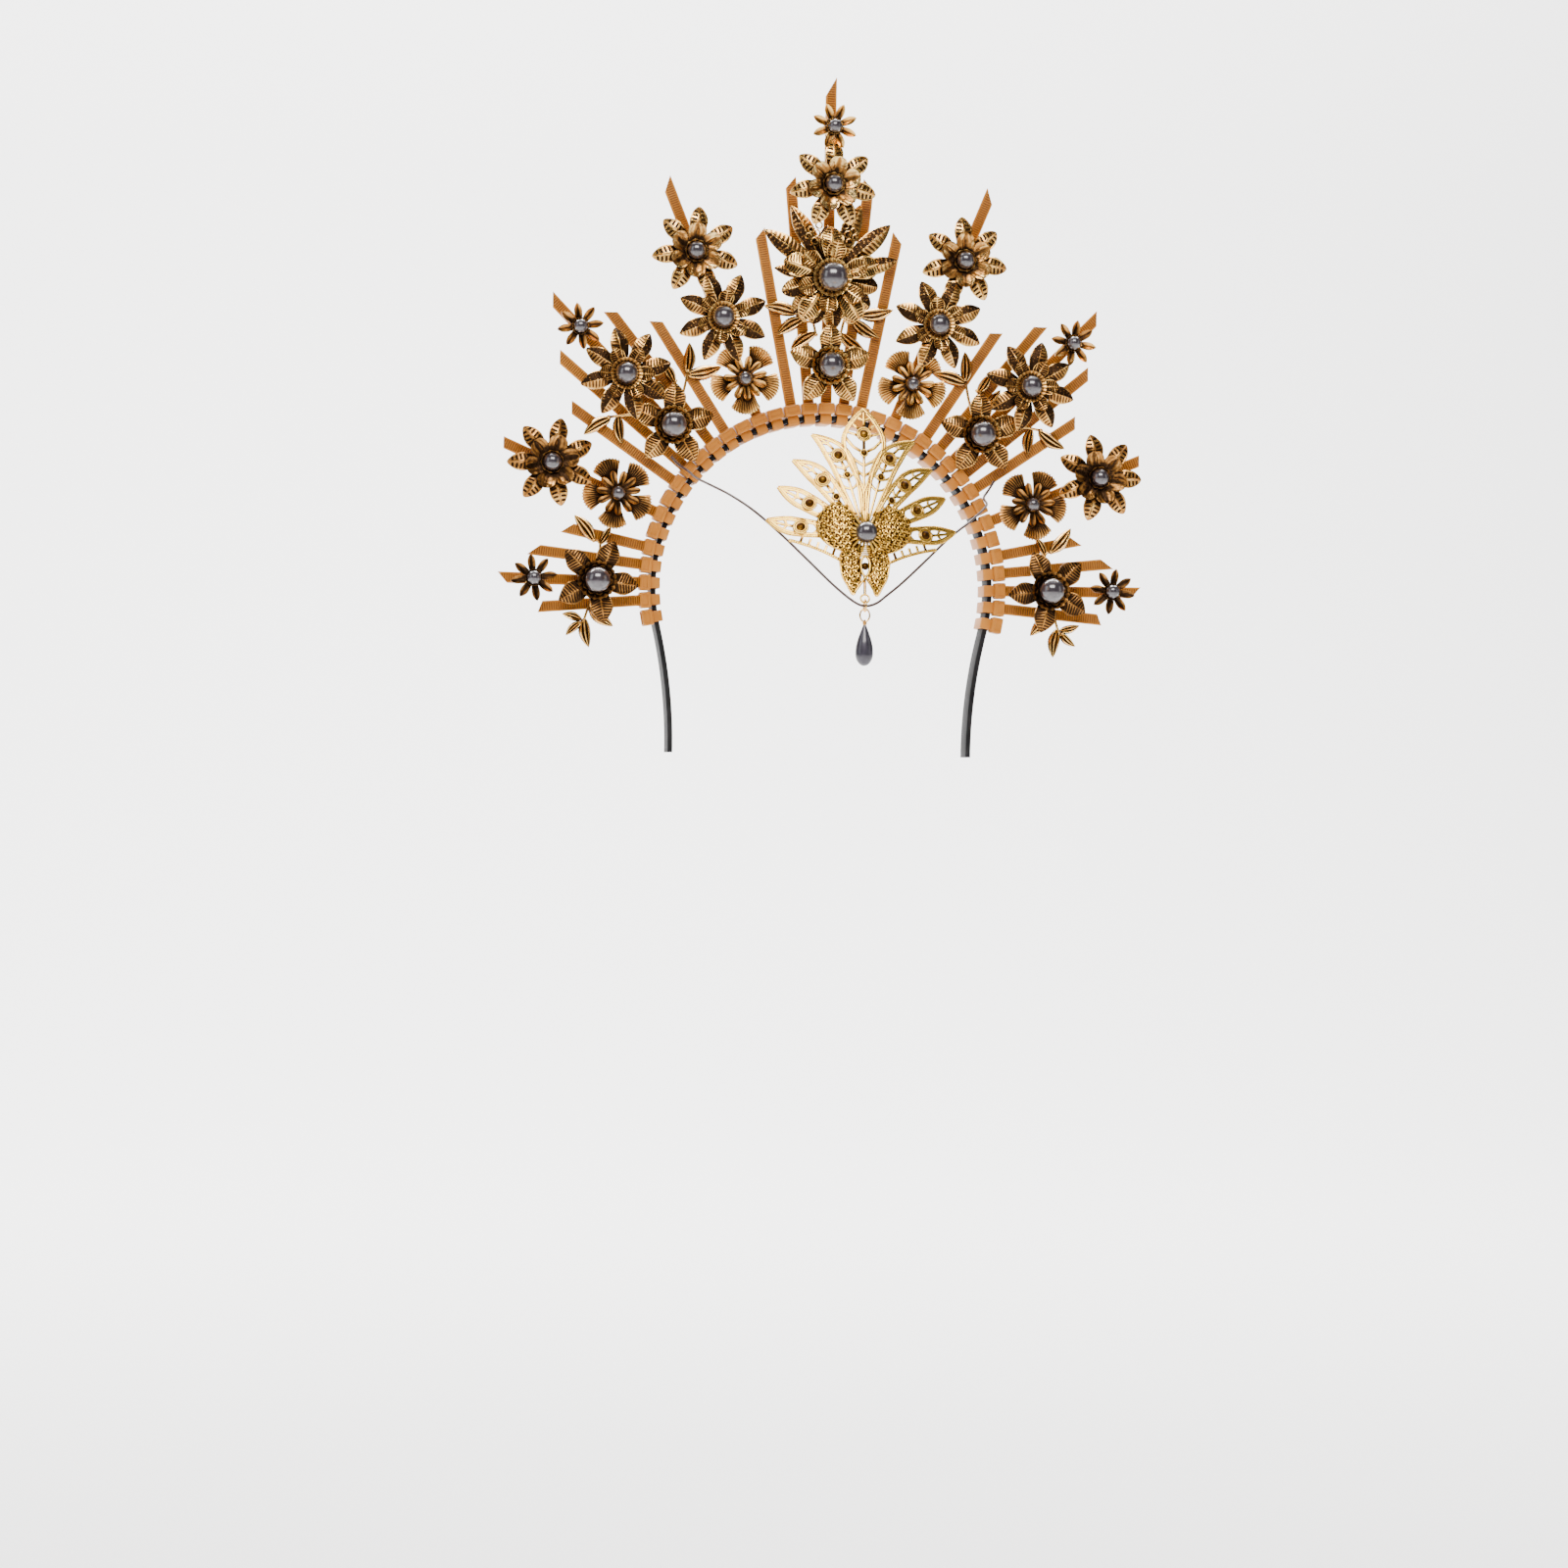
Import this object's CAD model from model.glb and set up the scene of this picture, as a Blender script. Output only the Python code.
import math

import bmesh
import bpy
from mathutils import Matrix, Vector
from mathutils.bvhtree import BVHTree


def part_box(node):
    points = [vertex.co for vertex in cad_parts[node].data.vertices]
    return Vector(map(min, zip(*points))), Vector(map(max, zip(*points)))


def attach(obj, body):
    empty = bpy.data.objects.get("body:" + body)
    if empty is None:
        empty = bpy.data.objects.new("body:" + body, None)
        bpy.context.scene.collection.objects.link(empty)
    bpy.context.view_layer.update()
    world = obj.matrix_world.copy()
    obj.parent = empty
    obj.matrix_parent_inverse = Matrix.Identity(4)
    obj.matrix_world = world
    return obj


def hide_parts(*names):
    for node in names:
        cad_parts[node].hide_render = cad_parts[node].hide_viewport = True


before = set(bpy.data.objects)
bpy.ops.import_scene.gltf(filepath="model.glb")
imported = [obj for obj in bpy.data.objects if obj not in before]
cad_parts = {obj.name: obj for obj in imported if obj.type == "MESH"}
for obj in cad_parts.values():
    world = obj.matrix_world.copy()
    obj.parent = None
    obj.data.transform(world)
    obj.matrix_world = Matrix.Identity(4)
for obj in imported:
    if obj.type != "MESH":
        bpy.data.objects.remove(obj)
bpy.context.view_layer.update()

# The studio: a pale floor that sweeps up behind the crown into a backdrop, a wide soft window over the
# camera, a soft light on either side and one above, and two for the backdrop. The camera stands as the
# photograph's did.
MM = 0.001
FAN_CENTRE = Vector((0.0, 0.0, -61.6 * MM))  # the point that all rays run out from
CAMERA_AZIMUTH = math.radians(-9.91)
CAMERA_ROLL = math.radians(0.96)
CAMERA_DISTANCE = 1.6
CAMERA_RIGHT = -12.1 * MM  # where the camera aims, seen from the fan's centre
CAMERA_UP = -71.5 * MM
PHOTO_WIDTH = 1600  # pixels
SCALE_AT_FAN = 0.3593 * MM  # one of those pixels, at the fan's centre
SENSOR = 36.0
FLOOR_DROP = 0.44
FLOOR_NEAR = -3.0
FLOOR_FAR = 1.7
SWEEP_RADIUS = 0.9
FLOOR_HALF_WIDTH = 3.5
WALL_HEIGHT = 2.6
STAGE_COLOUR = (0.90, 0.895, 0.89)
WORLD_COLOUR = (0.78, 0.80, 0.84)
WORLD_STRENGTH = 0.10


def studio_sweep():
    """A floor edge drawn back, turned up through a quarter circle and drawn on up."""
    bm = bmesh.new()
    ends = [bm.verts.new((x, FLOOR_NEAR, -FLOOR_DROP)) for x in (-FLOOR_HALF_WIDTH, FLOOR_HALF_WIDTH)]
    edge = bm.edges.new(ends)
    drawn = bmesh.ops.extrude_edge_only(bm, edges=[edge])["geom"]
    front = [g for g in drawn if isinstance(g, bmesh.types.BMVert)]
    bmesh.ops.translate(bm, vec=(0.0, FLOOR_FAR - FLOOR_NEAR, 0.0), verts=front)
    turned = bmesh.ops.spin(
        bm,
        geom=[g for g in drawn if isinstance(g, bmesh.types.BMEdge) and set(g.verts) == set(front)],
        cent=(0.0, FLOOR_FAR, SWEEP_RADIUS - FLOOR_DROP),
        axis=(1.0, 0.0, 0.0),
        angle=math.pi / 2,
        steps=16,
    )["geom_last"]
    raised = bmesh.ops.extrude_edge_only(bm, edges=[g for g in turned if isinstance(g, bmesh.types.BMEdge)])
    top = [g for g in raised["geom"] if isinstance(g, bmesh.types.BMVert)]
    bmesh.ops.translate(bm, vec=(0.0, 0.0, WALL_HEIGHT), verts=top)
    bmesh.ops.recalc_face_normals(bm, faces=bm.faces)
    mesh = bpy.data.meshes.new("studio_sweep")
    bm.to_mesh(mesh)
    bm.free()
    mesh.shade_smooth()
    return mesh


def stage_material():
    """Plain pale matt paint."""
    made = bpy.data.materials.new("pale_sweep")
    made.use_nodes = True
    shader = made.node_tree.nodes["Principled BSDF"]
    shader.inputs["Base Color"].default_value = (*STAGE_COLOUR, 1.0)
    shader.inputs["Roughness"].default_value = 0.9
    return made


def window_light(name, place, size, watts, colour, aim=FAN_CENTRE):
    """A soft light that faces the crown, or the wall behind it."""
    light = bpy.data.lights.new(name, "AREA")
    light.shape = "RECTANGLE"
    light.size, light.size_y = size
    light.energy = watts
    light.color = colour
    holder = bpy.data.objects.new(name, light)
    holder.location = place
    holder.rotation_mode = "QUATERNION"
    holder.rotation_quaternion = (Vector(aim) - Vector(place)).to_track_quat("-Z", "Y")
    bpy.context.scene.collection.objects.link(holder)


sweep = bpy.data.objects.new("studio_sweep", studio_sweep())
sweep.data.materials.append(stage_material())
bpy.context.scene.collection.objects.link(sweep)

window_light("window", (-0.25, -1.3, 1.05), (1.25, 0.70), 35, (1.0, 0.97, 0.93))
window_light("broad_left", (-1.5, -0.5, 0.5), (0.6, 1.2), 5, (0.95, 0.97, 1.0))
window_light("broad_right", (1.6, -0.7, 0.35), (0.5, 1.2), 3, (1.0, 0.98, 0.95))
window_light("top_light", (0.1, 0.2, 1.5), (1.4, 1.0), 6, (1.0, 1.0, 1.0))
window_light("wall_light", (0.0, 1.0, 1.9), (3.0, 0.5), 190, (1.0, 1.0, 1.0), aim=(0.0, 2.6, 0.1))
window_light("floor_light", (0.0, 1.3, 2.2), (3.4, 1.4), 160, (1.0, 1.0, 1.0), aim=(0.0, 1.2, -0.5))

world = bpy.data.worlds.new("studio_air")
world.use_nodes = True
world.node_tree.nodes["Background"].inputs["Color"].default_value = (*WORLD_COLOUR, 1.0)
world.node_tree.nodes["Background"].inputs["Strength"].default_value = WORLD_STRENGTH
bpy.context.scene.world = world

towards_camera = Vector((math.sin(CAMERA_AZIMUTH), -math.cos(CAMERA_AZIMUTH), 0.0))
camera_right = Vector((math.cos(CAMERA_AZIMUTH), math.sin(CAMERA_AZIMUTH), 0.0))
camera = bpy.data.objects.new("photo_camera", bpy.data.cameras.new("photo_camera"))
camera.data.sensor_width = SENSOR
camera.data.lens = SENSOR * CAMERA_DISTANCE / (PHOTO_WIDTH * SCALE_AT_FAN)
camera.location = (
    FAN_CENTRE
    + camera_right * CAMERA_RIGHT
    + Vector((0.0, 0.0, CAMERA_UP))
    + towards_camera * CAMERA_DISTANCE
)
looking = (-towards_camera).to_track_quat("-Z", "Y").to_matrix() @ Matrix.Rotation(CAMERA_ROLL, 3, "Z")
camera.rotation_mode = "QUATERNION"
camera.rotation_quaternion = looking.to_quaternion()
bpy.context.scene.collection.objects.link(camera)
bpy.context.scene.camera = camera


# The forehead cord: one thin waxed brown cord, twisted from fine yarns. It comes from between the ties left
# of the ornament, runs behind the ornament's lowest leaves and through the jump ring, and goes back among
# the ties on the right, drawn taut by the head.
CORD_DIAMETER = 0.9 * MM
CORD_TWIST = 1.1 * MM  # length of cord for one turn of its yarns
CORD_YARNS = 3
CORD_STATIONS = 420
WELD = 0.001 * MM
CORD_ROUTE = [
    (-0.0570, -0.0070, -0.0150),
    (-0.0545, -0.0090, -0.0180),
    (-0.0515, -0.0125, -0.0205),
    (-0.0500, -0.0220, -0.0235),
    (-0.0480, -0.0400, -0.0270),
    (-0.0435, -0.0570, -0.0315),
    (-0.0370, -0.0690, -0.0375),
    (-0.0290, -0.0767, -0.0455),
    (-0.0200, -0.0830, -0.0550),
    (-0.0115, -0.0885, -0.0640),
    (-0.0050, -0.0918, -0.0696),
    (-0.0011, -0.0925, -0.0711),
    (0.0030, -0.0918, -0.0701),
    (0.0070, -0.0903, -0.0672),
    (0.0130, -0.0875, -0.0625),
    (0.0220, -0.0830, -0.0545),
    (0.0310, -0.0770, -0.0465),
    (0.0400, -0.0690, -0.0400),
    (0.0475, -0.0560, -0.0350),
    (0.0530, -0.0400, -0.0315),
    (0.0565, -0.0220, -0.0290),
    (0.0580, -0.0125, -0.0270),
    (0.0605, -0.0090, -0.0240),
    (0.0630, -0.0070, -0.0205),
]


def run_length(points):
    """The length of a line from point to point."""
    return sum((b - a).length for a, b in zip(points, points[1:]))


def full_turns(count):
    """Even angles round a full circle."""
    return [math.tau * i / count for i in range(count)]


def level_circle(middle, radius, count):
    """Points round a circle about z."""
    return [middle + Vector((radius * math.cos(t), radius * math.sin(t), 0.0)) for t in full_turns(count)]


def spline(knots, steps):
    """A Catmull-Rom curve from the second knot to the last but one, in so many steps from knot to knot."""
    fine = []
    for a, b, c, d in zip(knots, knots[1:], knots[2:], knots[3:]):
        for i in range(steps):
            t = i / steps
            bend = (2 * a - 5 * b + 4 * c - d) * t**2 + (3 * b - a - 3 * c + d) * t**3
            fine.append(0.5 * (2 * b + (c - a) * t + bend))
    return fine


def smooth_route(points, count):
    """A smooth curve through the points, read at even steps along it."""
    knots = [Vector(p) for p in points]
    knots = [2 * knots[0] - knots[1], *knots, 2 * knots[-1] - knots[-2]]
    fine = [*spline(knots, 20), knots[-2]]
    runs = [0.0]
    for a, b in zip(fine, fine[1:]):
        runs.append(runs[-1] + (b - a).length)
    picked = []
    at = 0
    for i in range(count):
        want = runs[-1] * i / (count - 1)
        while at < len(runs) - 2 and runs[at + 1] < want:
            at += 1
        share = (want - runs[at]) / (runs[at + 1] - runs[at])
        picked.append(fine[at].lerp(fine[at + 1], min(share, 1.0)))
    return picked


def new_shape():
    """An empty shape whose points can say how deep in a recess they lie."""
    bm = bmesh.new()
    bm.verts.layers.float.new("recess")
    return bm


def faced_out(bm):
    """Turns a closed shape's faces outward."""
    bmesh.ops.recalc_face_normals(bm, faces=bm.faces)
    if bm.calc_volume(signed=True) < 0:
        bmesh.ops.reverse_faces(bm, faces=bm.faces)
    return bm


def headings_along(points, closed):
    """The direction of a line at each of its points."""
    if closed:
        around = zip(points[-1:] + points[:-1], points[1:] + points[:1])
    else:
        around = zip(points[:1] + points[:-1], points[1:] + points[-1:])
    return [(after - before).normalized() for before, after in around]


def skin(rings, closed=False):
    """A grid rolled through rings of points, with its seam welded and its ends drawn shut."""
    if closed:
        rings = [*rings, rings[0]]
    else:
        first = sum(rings[0], Vector()) / len(rings[0])
        last = sum(rings[-1], Vector()) / len(rings[-1])
        rings = [[first] * len(rings[0]), *rings, [last] * len(rings[0])]
    sides = len(rings[0])
    bm = new_shape()
    bmesh.ops.create_grid(bm, x_segments=sides, y_segments=len(rings) - 1, size=1.0, calc_uvs=True)
    for i, vert in enumerate(bm.verts):
        vert.co = rings[i // (sides + 1)][i % (sides + 1) % sides]
    bmesh.ops.remove_doubles(bm, verts=bm.verts, dist=WELD)
    return faced_out(bm)


def wire(points, radius, sides=8, closed=False):
    """A round wire along the points."""
    points = [Vector(p) for p in points]
    headings = headings_along(points, closed)
    normal = headings[0].orthogonal().normalized()
    rings = []
    for point, heading in zip(points, headings):
        normal = (normal - heading * normal.dot(heading)).normalized()
        across = heading.cross(normal)
        turns = full_turns(sides)
        rings.append([point + (normal * math.cos(t) + across * math.sin(t)) * radius for t in turns])
    return skin(rings, closed)


def gather(parts):
    """One bmesh from several."""
    whole = new_shape()
    for part in parts:
        passing = bpy.data.meshes.new("passing")
        part.to_mesh(passing)
        part.free()
        whole.from_mesh(passing)
        bpy.data.meshes.remove(passing)
    return whole


def finished(name, bm, materials, sharp=40.0):
    """A piece at the origin from a bmesh, shaded smooth up to a sharpest angle."""
    mesh = bpy.data.meshes.new(name)
    bm.to_mesh(mesh)
    bm.free()
    for finish in materials:
        mesh.materials.append(finish)
    mesh.shade_smooth()
    mesh.set_sharp_from_angle(angle=math.radians(sharp))
    piece = bpy.data.objects.new(name, mesh)
    bpy.context.scene.collection.objects.link(piece)
    return piece


def new_material(name):
    """A material, its tree and its Principled shader."""
    made = bpy.data.materials.new(name)
    made.use_nodes = True
    return made, made.node_tree, made.node_tree.nodes["Principled BSDF"]


def set_inputs(node, values):
    """Gives a node's inputs their values, by name or number."""
    for entry, value in values.items():
        node.inputs[entry].default_value = value


def add_node(tree, kind, values=None, **settings):
    """A node in a tree, with its settings and the values of its inputs."""
    node = tree.nodes.new("ShaderNode" + kind)
    for name, setting in settings.items():
        setattr(node, name, setting)
    set_inputs(node, values or {})
    return node


def link(source, output, target, entry):
    """Joins one node's output to another's input."""
    source.id_data.links.new(source.outputs[output], target.inputs[entry])


def cord_material(length):
    """Waxed brown yarn: twisted ridges along the cord's own map, darker in their grooves."""
    made, tree, shader = new_material("waxed_brown_cord")
    place = add_node(tree, "UVMap")
    twist = add_node(tree, "Mapping", {"Scale": (CORD_YARNS, length / CORD_TWIST * CORD_YARNS, 1.0)})
    yarn = add_node(
        tree, "TexWave", {"Scale": 0.31, "Distortion": 0.6}, wave_type="BANDS", bands_direction="DIAGONAL"
    )
    colours = {"A": (0.045, 0.014, 0.008, 1.0), "B": (0.200, 0.075, 0.045, 1.0)}
    tint = add_node(tree, "Mix", colours, data_type="RGBA")
    relief = add_node(tree, "Bump", {"Strength": 0.5, "Distance": 0.1 * MM})
    link(place, "UV", twist, "Vector")
    link(twist, "Vector", yarn, "Vector")
    link(yarn, "Fac", tint, "Factor")
    link(tint, "Result", shader, "Base Color")
    link(yarn, "Fac", relief, "Height")
    link(relief, "Normal", shader, "Normal")
    set_inputs(shader, {"Roughness": 0.42, "Coat Weight": 0.25, "Coat Roughness": 0.3})
    return made


cord_points = smooth_route(CORD_ROUTE, CORD_STATIONS)
cord_tube = wire(cord_points, CORD_DIAMETER / 2, sides=12)
cord = finished("forehead_cord_yarn", cord_tube, [cord_material(run_length(cord_points))])
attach(cord, "root")
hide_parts("forehead_cord")


# The headband: a thin springy strip of black plastic with rounded edges, bent over the head and running down
# in two plain legs. It is moulded, and its top is hidden by the ties that are locked round it.
BAND_RADIUS = 62.5 * MM  # from the fan's centre to the middle of the strip
BAND_THICKNESS = 1.8 * MM
BAND_WIDTH = 10.0 * MM
BAND_EDGE = 0.6 * MM
BAND_STEPS = 4  # for each tie's share of the arc
LEG_LENGTH = 46.0 * MM
LEG_STEPS = 5
GAP = 0.3 * MM
TIE_THICKNESS = 1.2 * MM
HEAD_WIDTH = 5.8 * MM
HEAD_SPACE = 0.43 * MM  # between the feet of two heads
HEAD_FOOT = BAND_RADIUS + BAND_THICKNESS / 2 + GAP + TIE_THICKNESS / 6
TIE_PITCH = 2 * math.atan((HEAD_WIDTH + HEAD_SPACE) / 2 / HEAD_FOOT)
LAST_TIE = 18
BAND_ARC = (LAST_TIE + 0.62) * TIE_PITCH  # the arc ends just past the last tie on each side


def band_path():
    """The strip's middle line from the right leg's end over the head to the left's."""
    steps = round(BAND_ARC / TIE_PITCH) * BAND_STEPS
    leg_steps = LEG_STEPS * BAND_STEPS
    turns = [BAND_ARC * i / steps for i in range(steps + 1)]
    half = [Vector((BAND_RADIUS * math.sin(t), 0.0, BAND_RADIUS * math.cos(t))) for t in turns]
    heading = BAND_ARC
    for i in range(leg_steps):
        slope = heading - (heading - math.pi / 2) * (i + 1) / leg_steps
        step = LEG_LENGTH / leg_steps
        half.append(half[-1] + Vector((step * math.cos(slope), 0.0, -step * math.sin(slope))))
    left = [Vector((-p.x, 0.0, p.z)) for p in half[1:]]
    return [FAN_CENTRE + p for p in [*reversed(half), *left]]


def rounded_section(width, thickness, edge, steps):
    """The corners of a rounded rectangle, anticlockwise."""
    corners = []
    for quarter in range(4):
        turn = math.pi / 2 * quarter
        middle_x = (width / 2 - edge) * (1 if quarter in (0, 3) else -1)
        middle_y = (thickness / 2 - edge) * (1 if quarter in (0, 1) else -1)
        for i in range(steps + 1):
            t = turn + math.pi / 2 * i / steps
            corners.append((middle_x + edge * math.cos(t), middle_y + edge * math.sin(t)))
    return corners


def drawn_strip(path, section, across, closed=False):
    """A bar of one section drawn along a path that lies square to the across direction."""
    rings = []
    for point, heading in zip(path, headings_along(path, closed)):
        rings.append([point + across * x + heading.cross(across) * y for x, y in section])
    return skin(rings, closed)


def add_grain_group():
    """Fine scratches and mottling of moulded plastic: a height for bumps and a mask for the finish."""
    group = bpy.data.node_groups.new("moulded_grain", "ShaderNodeTree")
    for name, way in (("Coarse", "INPUT"), ("Fine", "INPUT"), ("Height", "OUTPUT"), ("Mask", "OUTPUT")):
        group.interface.new_socket(name, in_out=way, socket_type="NodeSocketFloat")
    asked = group.nodes.new("NodeGroupInput")
    given = group.nodes.new("NodeGroupOutput")
    place = add_node(group, "TexCoord")
    coarse = add_node(group, "TexNoise")
    fine = add_node(group, "TexNoise", {"Detail": 4.0})
    for noise, size, result in ((coarse, "Coarse", "Mask"), (fine, "Fine", "Height")):
        link(place, "Object", noise, "Vector")
        link(asked, size, noise, "Scale")
        link(noise, "Fac", given, result)
    return group


moulded_grain = add_grain_group()


def moulded_material(name, dark, light, coarse, fine, roughness, depth, shine):
    """Moulded plastic: two tones in soft patches, with a fine grain in its gloss and its surface."""
    made, tree, shader = new_material(name)
    grain = add_node(tree, "Group", node_tree=moulded_grain)
    set_inputs(grain, {"Coarse": coarse, "Fine": fine})
    tint = add_node(tree, "Mix", data_type="RGBA")
    set_inputs(tint, {"A": (*dark, 1.0), "B": (*light, 1.0)})
    patches = add_node(tree, "MapRange", {"From Min": 0.35, "From Max": 0.65})
    gloss = add_node(tree, "MapRange", {"To Min": roughness - 0.08, "To Max": roughness + 0.08})
    relief = add_node(tree, "Bump", {"Strength": 0.35, "Distance": depth})
    recess = add_node(tree, "Attribute", attribute_name="recess")
    shade = add_node(tree, "Mix", data_type="RGBA")
    set_inputs(shade, {"B": (*(0.30 * c for c in dark), 1.0)})
    link(grain, "Mask", patches, "Value")
    link(patches, "Result", tint, "Factor")
    link(recess, "Fac", shade, "Factor")
    link(tint, "Result", shade, "A")
    link(shade, "Result", shader, "Base Color")
    link(grain, "Height", gloss, "Value")
    link(gloss, "Result", shader, "Roughness")
    link(grain, "Height", relief, "Height")
    link(relief, "Normal", shader, "Normal")
    set_inputs(shader, {"Specular IOR Level": shine})
    return made


black_plastic = moulded_material(
    "black_moulded_band",
    dark=(0.010, 0.010, 0.011),
    light=(0.022, 0.021, 0.022),
    coarse=90.0,
    fine=2200.0,
    roughness=0.52,
    depth=0.05 * MM,
    shine=0.07,
)
strip_section = rounded_section(BAND_WIDTH, BAND_THICKNESS, BAND_EDGE, 4)
strip = drawn_strip(band_path(), strip_section, Vector((0.0, 1.0, 0.0)))
headband = finished("headband_strip", strip, [black_plastic])
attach(headband, "root")
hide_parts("headband")


# The cable ties: 37 ochre nylon ties side by side round the headband, each a strap locked in its own square
# head. The long tails are the rays, finely ribbed between two smooth rims and cut off at a slant. The spacer
# ties between them are trimmed off at the head.
TIE_WIDTH = 4.0 * MM
TIE_RIM = 0.55 * MM
TIE_CORNER = 0.16 * MM
RIB_PITCH = 0.85 * MM
RIB_DEPTH = 0.26 * MM
RIB_CREST = 0.04 * MM  # below the rims
RIB_LEAN = 0.62  # a rib's gentle side, as a share of the pitch
CHANNEL_WALL = 0.12 * MM
LOOP_CORNER = 0.9 * MM
LOOP_EDGE = 0.25 * MM
HEAD_DEPTH = 5.6 * MM
HEAD_TOP = BAND_RADIUS + BAND_THICKNESS / 2 + GAP + 4.2 * MM
HEAD_EDGE = 0.55 * MM
LIP_HEIGHT = 0.9 * MM
PANEL_INSET = 0.35 * MM
PANEL_DEPTH = 0.28 * MM
MOUTH_INSET = 0.30 * MM
MOUTH_DEPTH = 0.7 * MM
RAY_FORWARD = BAND_WIDTH / 2 + 0.4 * MM
RAY_TIPS = {  # by place in the row: the tip's distance from the fan's centre, and the cut's height in widths
    0: (187.0, -1.75),
    1: (150.7, 1.00),
    2: (133.3, 0.88),
    4: (160.0, 1.25),
    6: (115.9, -0.68),
    7: (128.3, -0.80),
    8: (145.7, 1.02),
    9: (129.2, 0.82),
    10: (114.3, 0.68),
    12: (129.0, 0.42),
    14: (98.5, -1.00),
    15: (109.3, -1.12),
    16: (119.4, 0.88),
    17: (105.2, -0.50),
}
SPACER_PLACES = [3, 5, 11, 13, LAST_TIE]


def fan_matrix(place, side=1):
    """Turns x across, y outwards, z forward into the crown's frame, at a tie's place in the row."""
    angle = place * TIE_PITCH * side
    across = Vector((math.cos(angle), 0.0, -math.sin(angle)))
    outward = Vector((math.sin(angle), 0.0, math.cos(angle)))
    forward = Vector((0.0, -1.0, 0.0))
    turn = Matrix((across, outward, forward)).transposed().to_4x4()
    return Matrix.Translation(FAN_CENTRE) @ turn


def sides_of(place):
    """Both sides, and one alone for what stands in the middle."""
    return (-1, 1) if place else (1,)


def side_name(place, side):
    """The end of a name that says where a piece stands in the row."""
    if place == 0:
        return "middle"
    return "right_%02d" % place if side > 0 else "left_%02d" % place


def tie_strap(length):
    """The ribbed tail before its cut: flat at the back, with saw-tooth ribs between two rims."""
    half = TIE_WIDTH / 2
    top = TIE_THICKNESS / 2
    rim = half - TIE_RIM
    wall = rim - CHANNEL_WALL
    rings = []
    for i in range(2 * int(length / RIB_PITCH) + 2):
        along = (i // 2 + (RIB_LEAN if i % 2 else 0.0)) * RIB_PITCH
        floor = top - (RIB_CREST if i % 2 else RIB_DEPTH)
        front = [(rim, top), (wall, floor), (0.0, floor), (-wall, floor), (-rim, top)]
        corners = [
            (half, TIE_CORNER - top),
            (half, top - TIE_CORNER),
            (half - TIE_CORNER, top),
            *front,
            (TIE_CORNER - half, top),
            (-half, top - TIE_CORNER),
            (-half, TIE_CORNER - top),
            (TIE_CORNER - half, -top),
            (half - TIE_CORNER, -top),
        ]
        rings.append([Vector((x, along, z)) for x, z in corners])
    bm = skin(rings)
    layer = bm.verts.layers.float["recess"]
    for vert in bm.verts:
        if vert.co.z > 0 and abs(vert.co.x) < rim and vert.co.z < top - RIB_DEPTH / 2:
            vert[layer] = 1.0
    return bm


def tie_tail(tip, cut, side):
    """A ribbed tail from inside the head to its tip, cut through at a slant."""
    root = (HEAD_FOOT + HEAD_TOP) / 2
    bm = tie_strap(tip - root + RIB_PITCH)
    bmesh.ops.translate(bm, vec=(0.0, root, RAY_FORWARD), verts=bm.verts)
    point = math.copysign(TIE_WIDTH / 2, -cut * side)
    slope = Vector((2 * point, abs(cut) * TIE_WIDTH, 0.0)).normalized()
    outward = Vector((-slope.y, slope.x, 0.0)) * math.copysign(1.0, point)
    cut_through = bmesh.ops.bisect_plane(
        bm,
        geom=[*bm.verts, *bm.edges, *bm.faces],
        plane_co=(point, tip, 0.0),
        plane_no=outward,
        clear_outer=True,
    )["geom_cut"]
    edges = [g for g in cut_through if isinstance(g, bmesh.types.BMEdge)]
    bmesh.ops.holes_fill(bm, edges=edges)
    bmesh.ops.recalc_face_normals(bm, faces=bm.faces)
    return bm


def tie_head():
    """A rounded block with a shallow panel above a lip on its face, and a mouth for the tail on its top."""
    bm = new_shape()
    bmesh.ops.create_cube(bm, size=1.0)
    bmesh.ops.scale(bm, vec=(HEAD_WIDTH, HEAD_TOP - HEAD_FOOT, HEAD_DEPTH), verts=bm.verts)
    bmesh.ops.translate(bm, vec=(0.0, (HEAD_FOOT + HEAD_TOP) / 2, RAY_FORWARD), verts=bm.verts)
    bmesh.ops.bevel(
        bm, geom=bm.edges[:], offset=HEAD_EDGE, affect="EDGES", segments=3, profile=0.5, material=-1
    )
    bmesh.ops.bisect_plane(
        bm,
        geom=[*bm.verts, *bm.edges, *bm.faces],
        plane_co=(0.0, HEAD_FOOT + LIP_HEIGHT, 0.0),
        plane_no=(0.0, 1.0, 0.0),
    )
    front = max(bm.faces, key=lambda f: (round(f.normal.z, 2), f.calc_area()))
    bmesh.ops.inset_individual(bm, faces=[front], thickness=PANEL_INSET)
    bmesh.ops.inset_individual(bm, faces=[front], thickness=0.12 * MM, depth=-PANEL_DEPTH)
    mouth = max(bm.faces, key=lambda f: (round(f.normal.y, 2), f.calc_area()))
    bmesh.ops.inset_individual(bm, faces=[mouth], thickness=MOUTH_INSET)
    bmesh.ops.inset_individual(bm, faces=[mouth], thickness=0.10 * MM, depth=-MOUTH_DEPTH)
    return bm


def tie_loop():
    """The strap's loop round the headband."""
    deep = BAND_WIDTH + 2 * GAP + TIE_THICKNESS
    thick = BAND_THICKNESS + 2 * GAP + TIE_THICKNESS
    path = [Vector((0.0, BAND_RADIUS + y, z)) for z, y in rounded_section(deep, thick, LOOP_CORNER, 5)]
    section = rounded_section(TIE_WIDTH, TIE_THICKNESS, LOOP_EDGE, 2)
    return drawn_strip(path, section, Vector((1.0, 0.0, 0.0)), closed=True)


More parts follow.
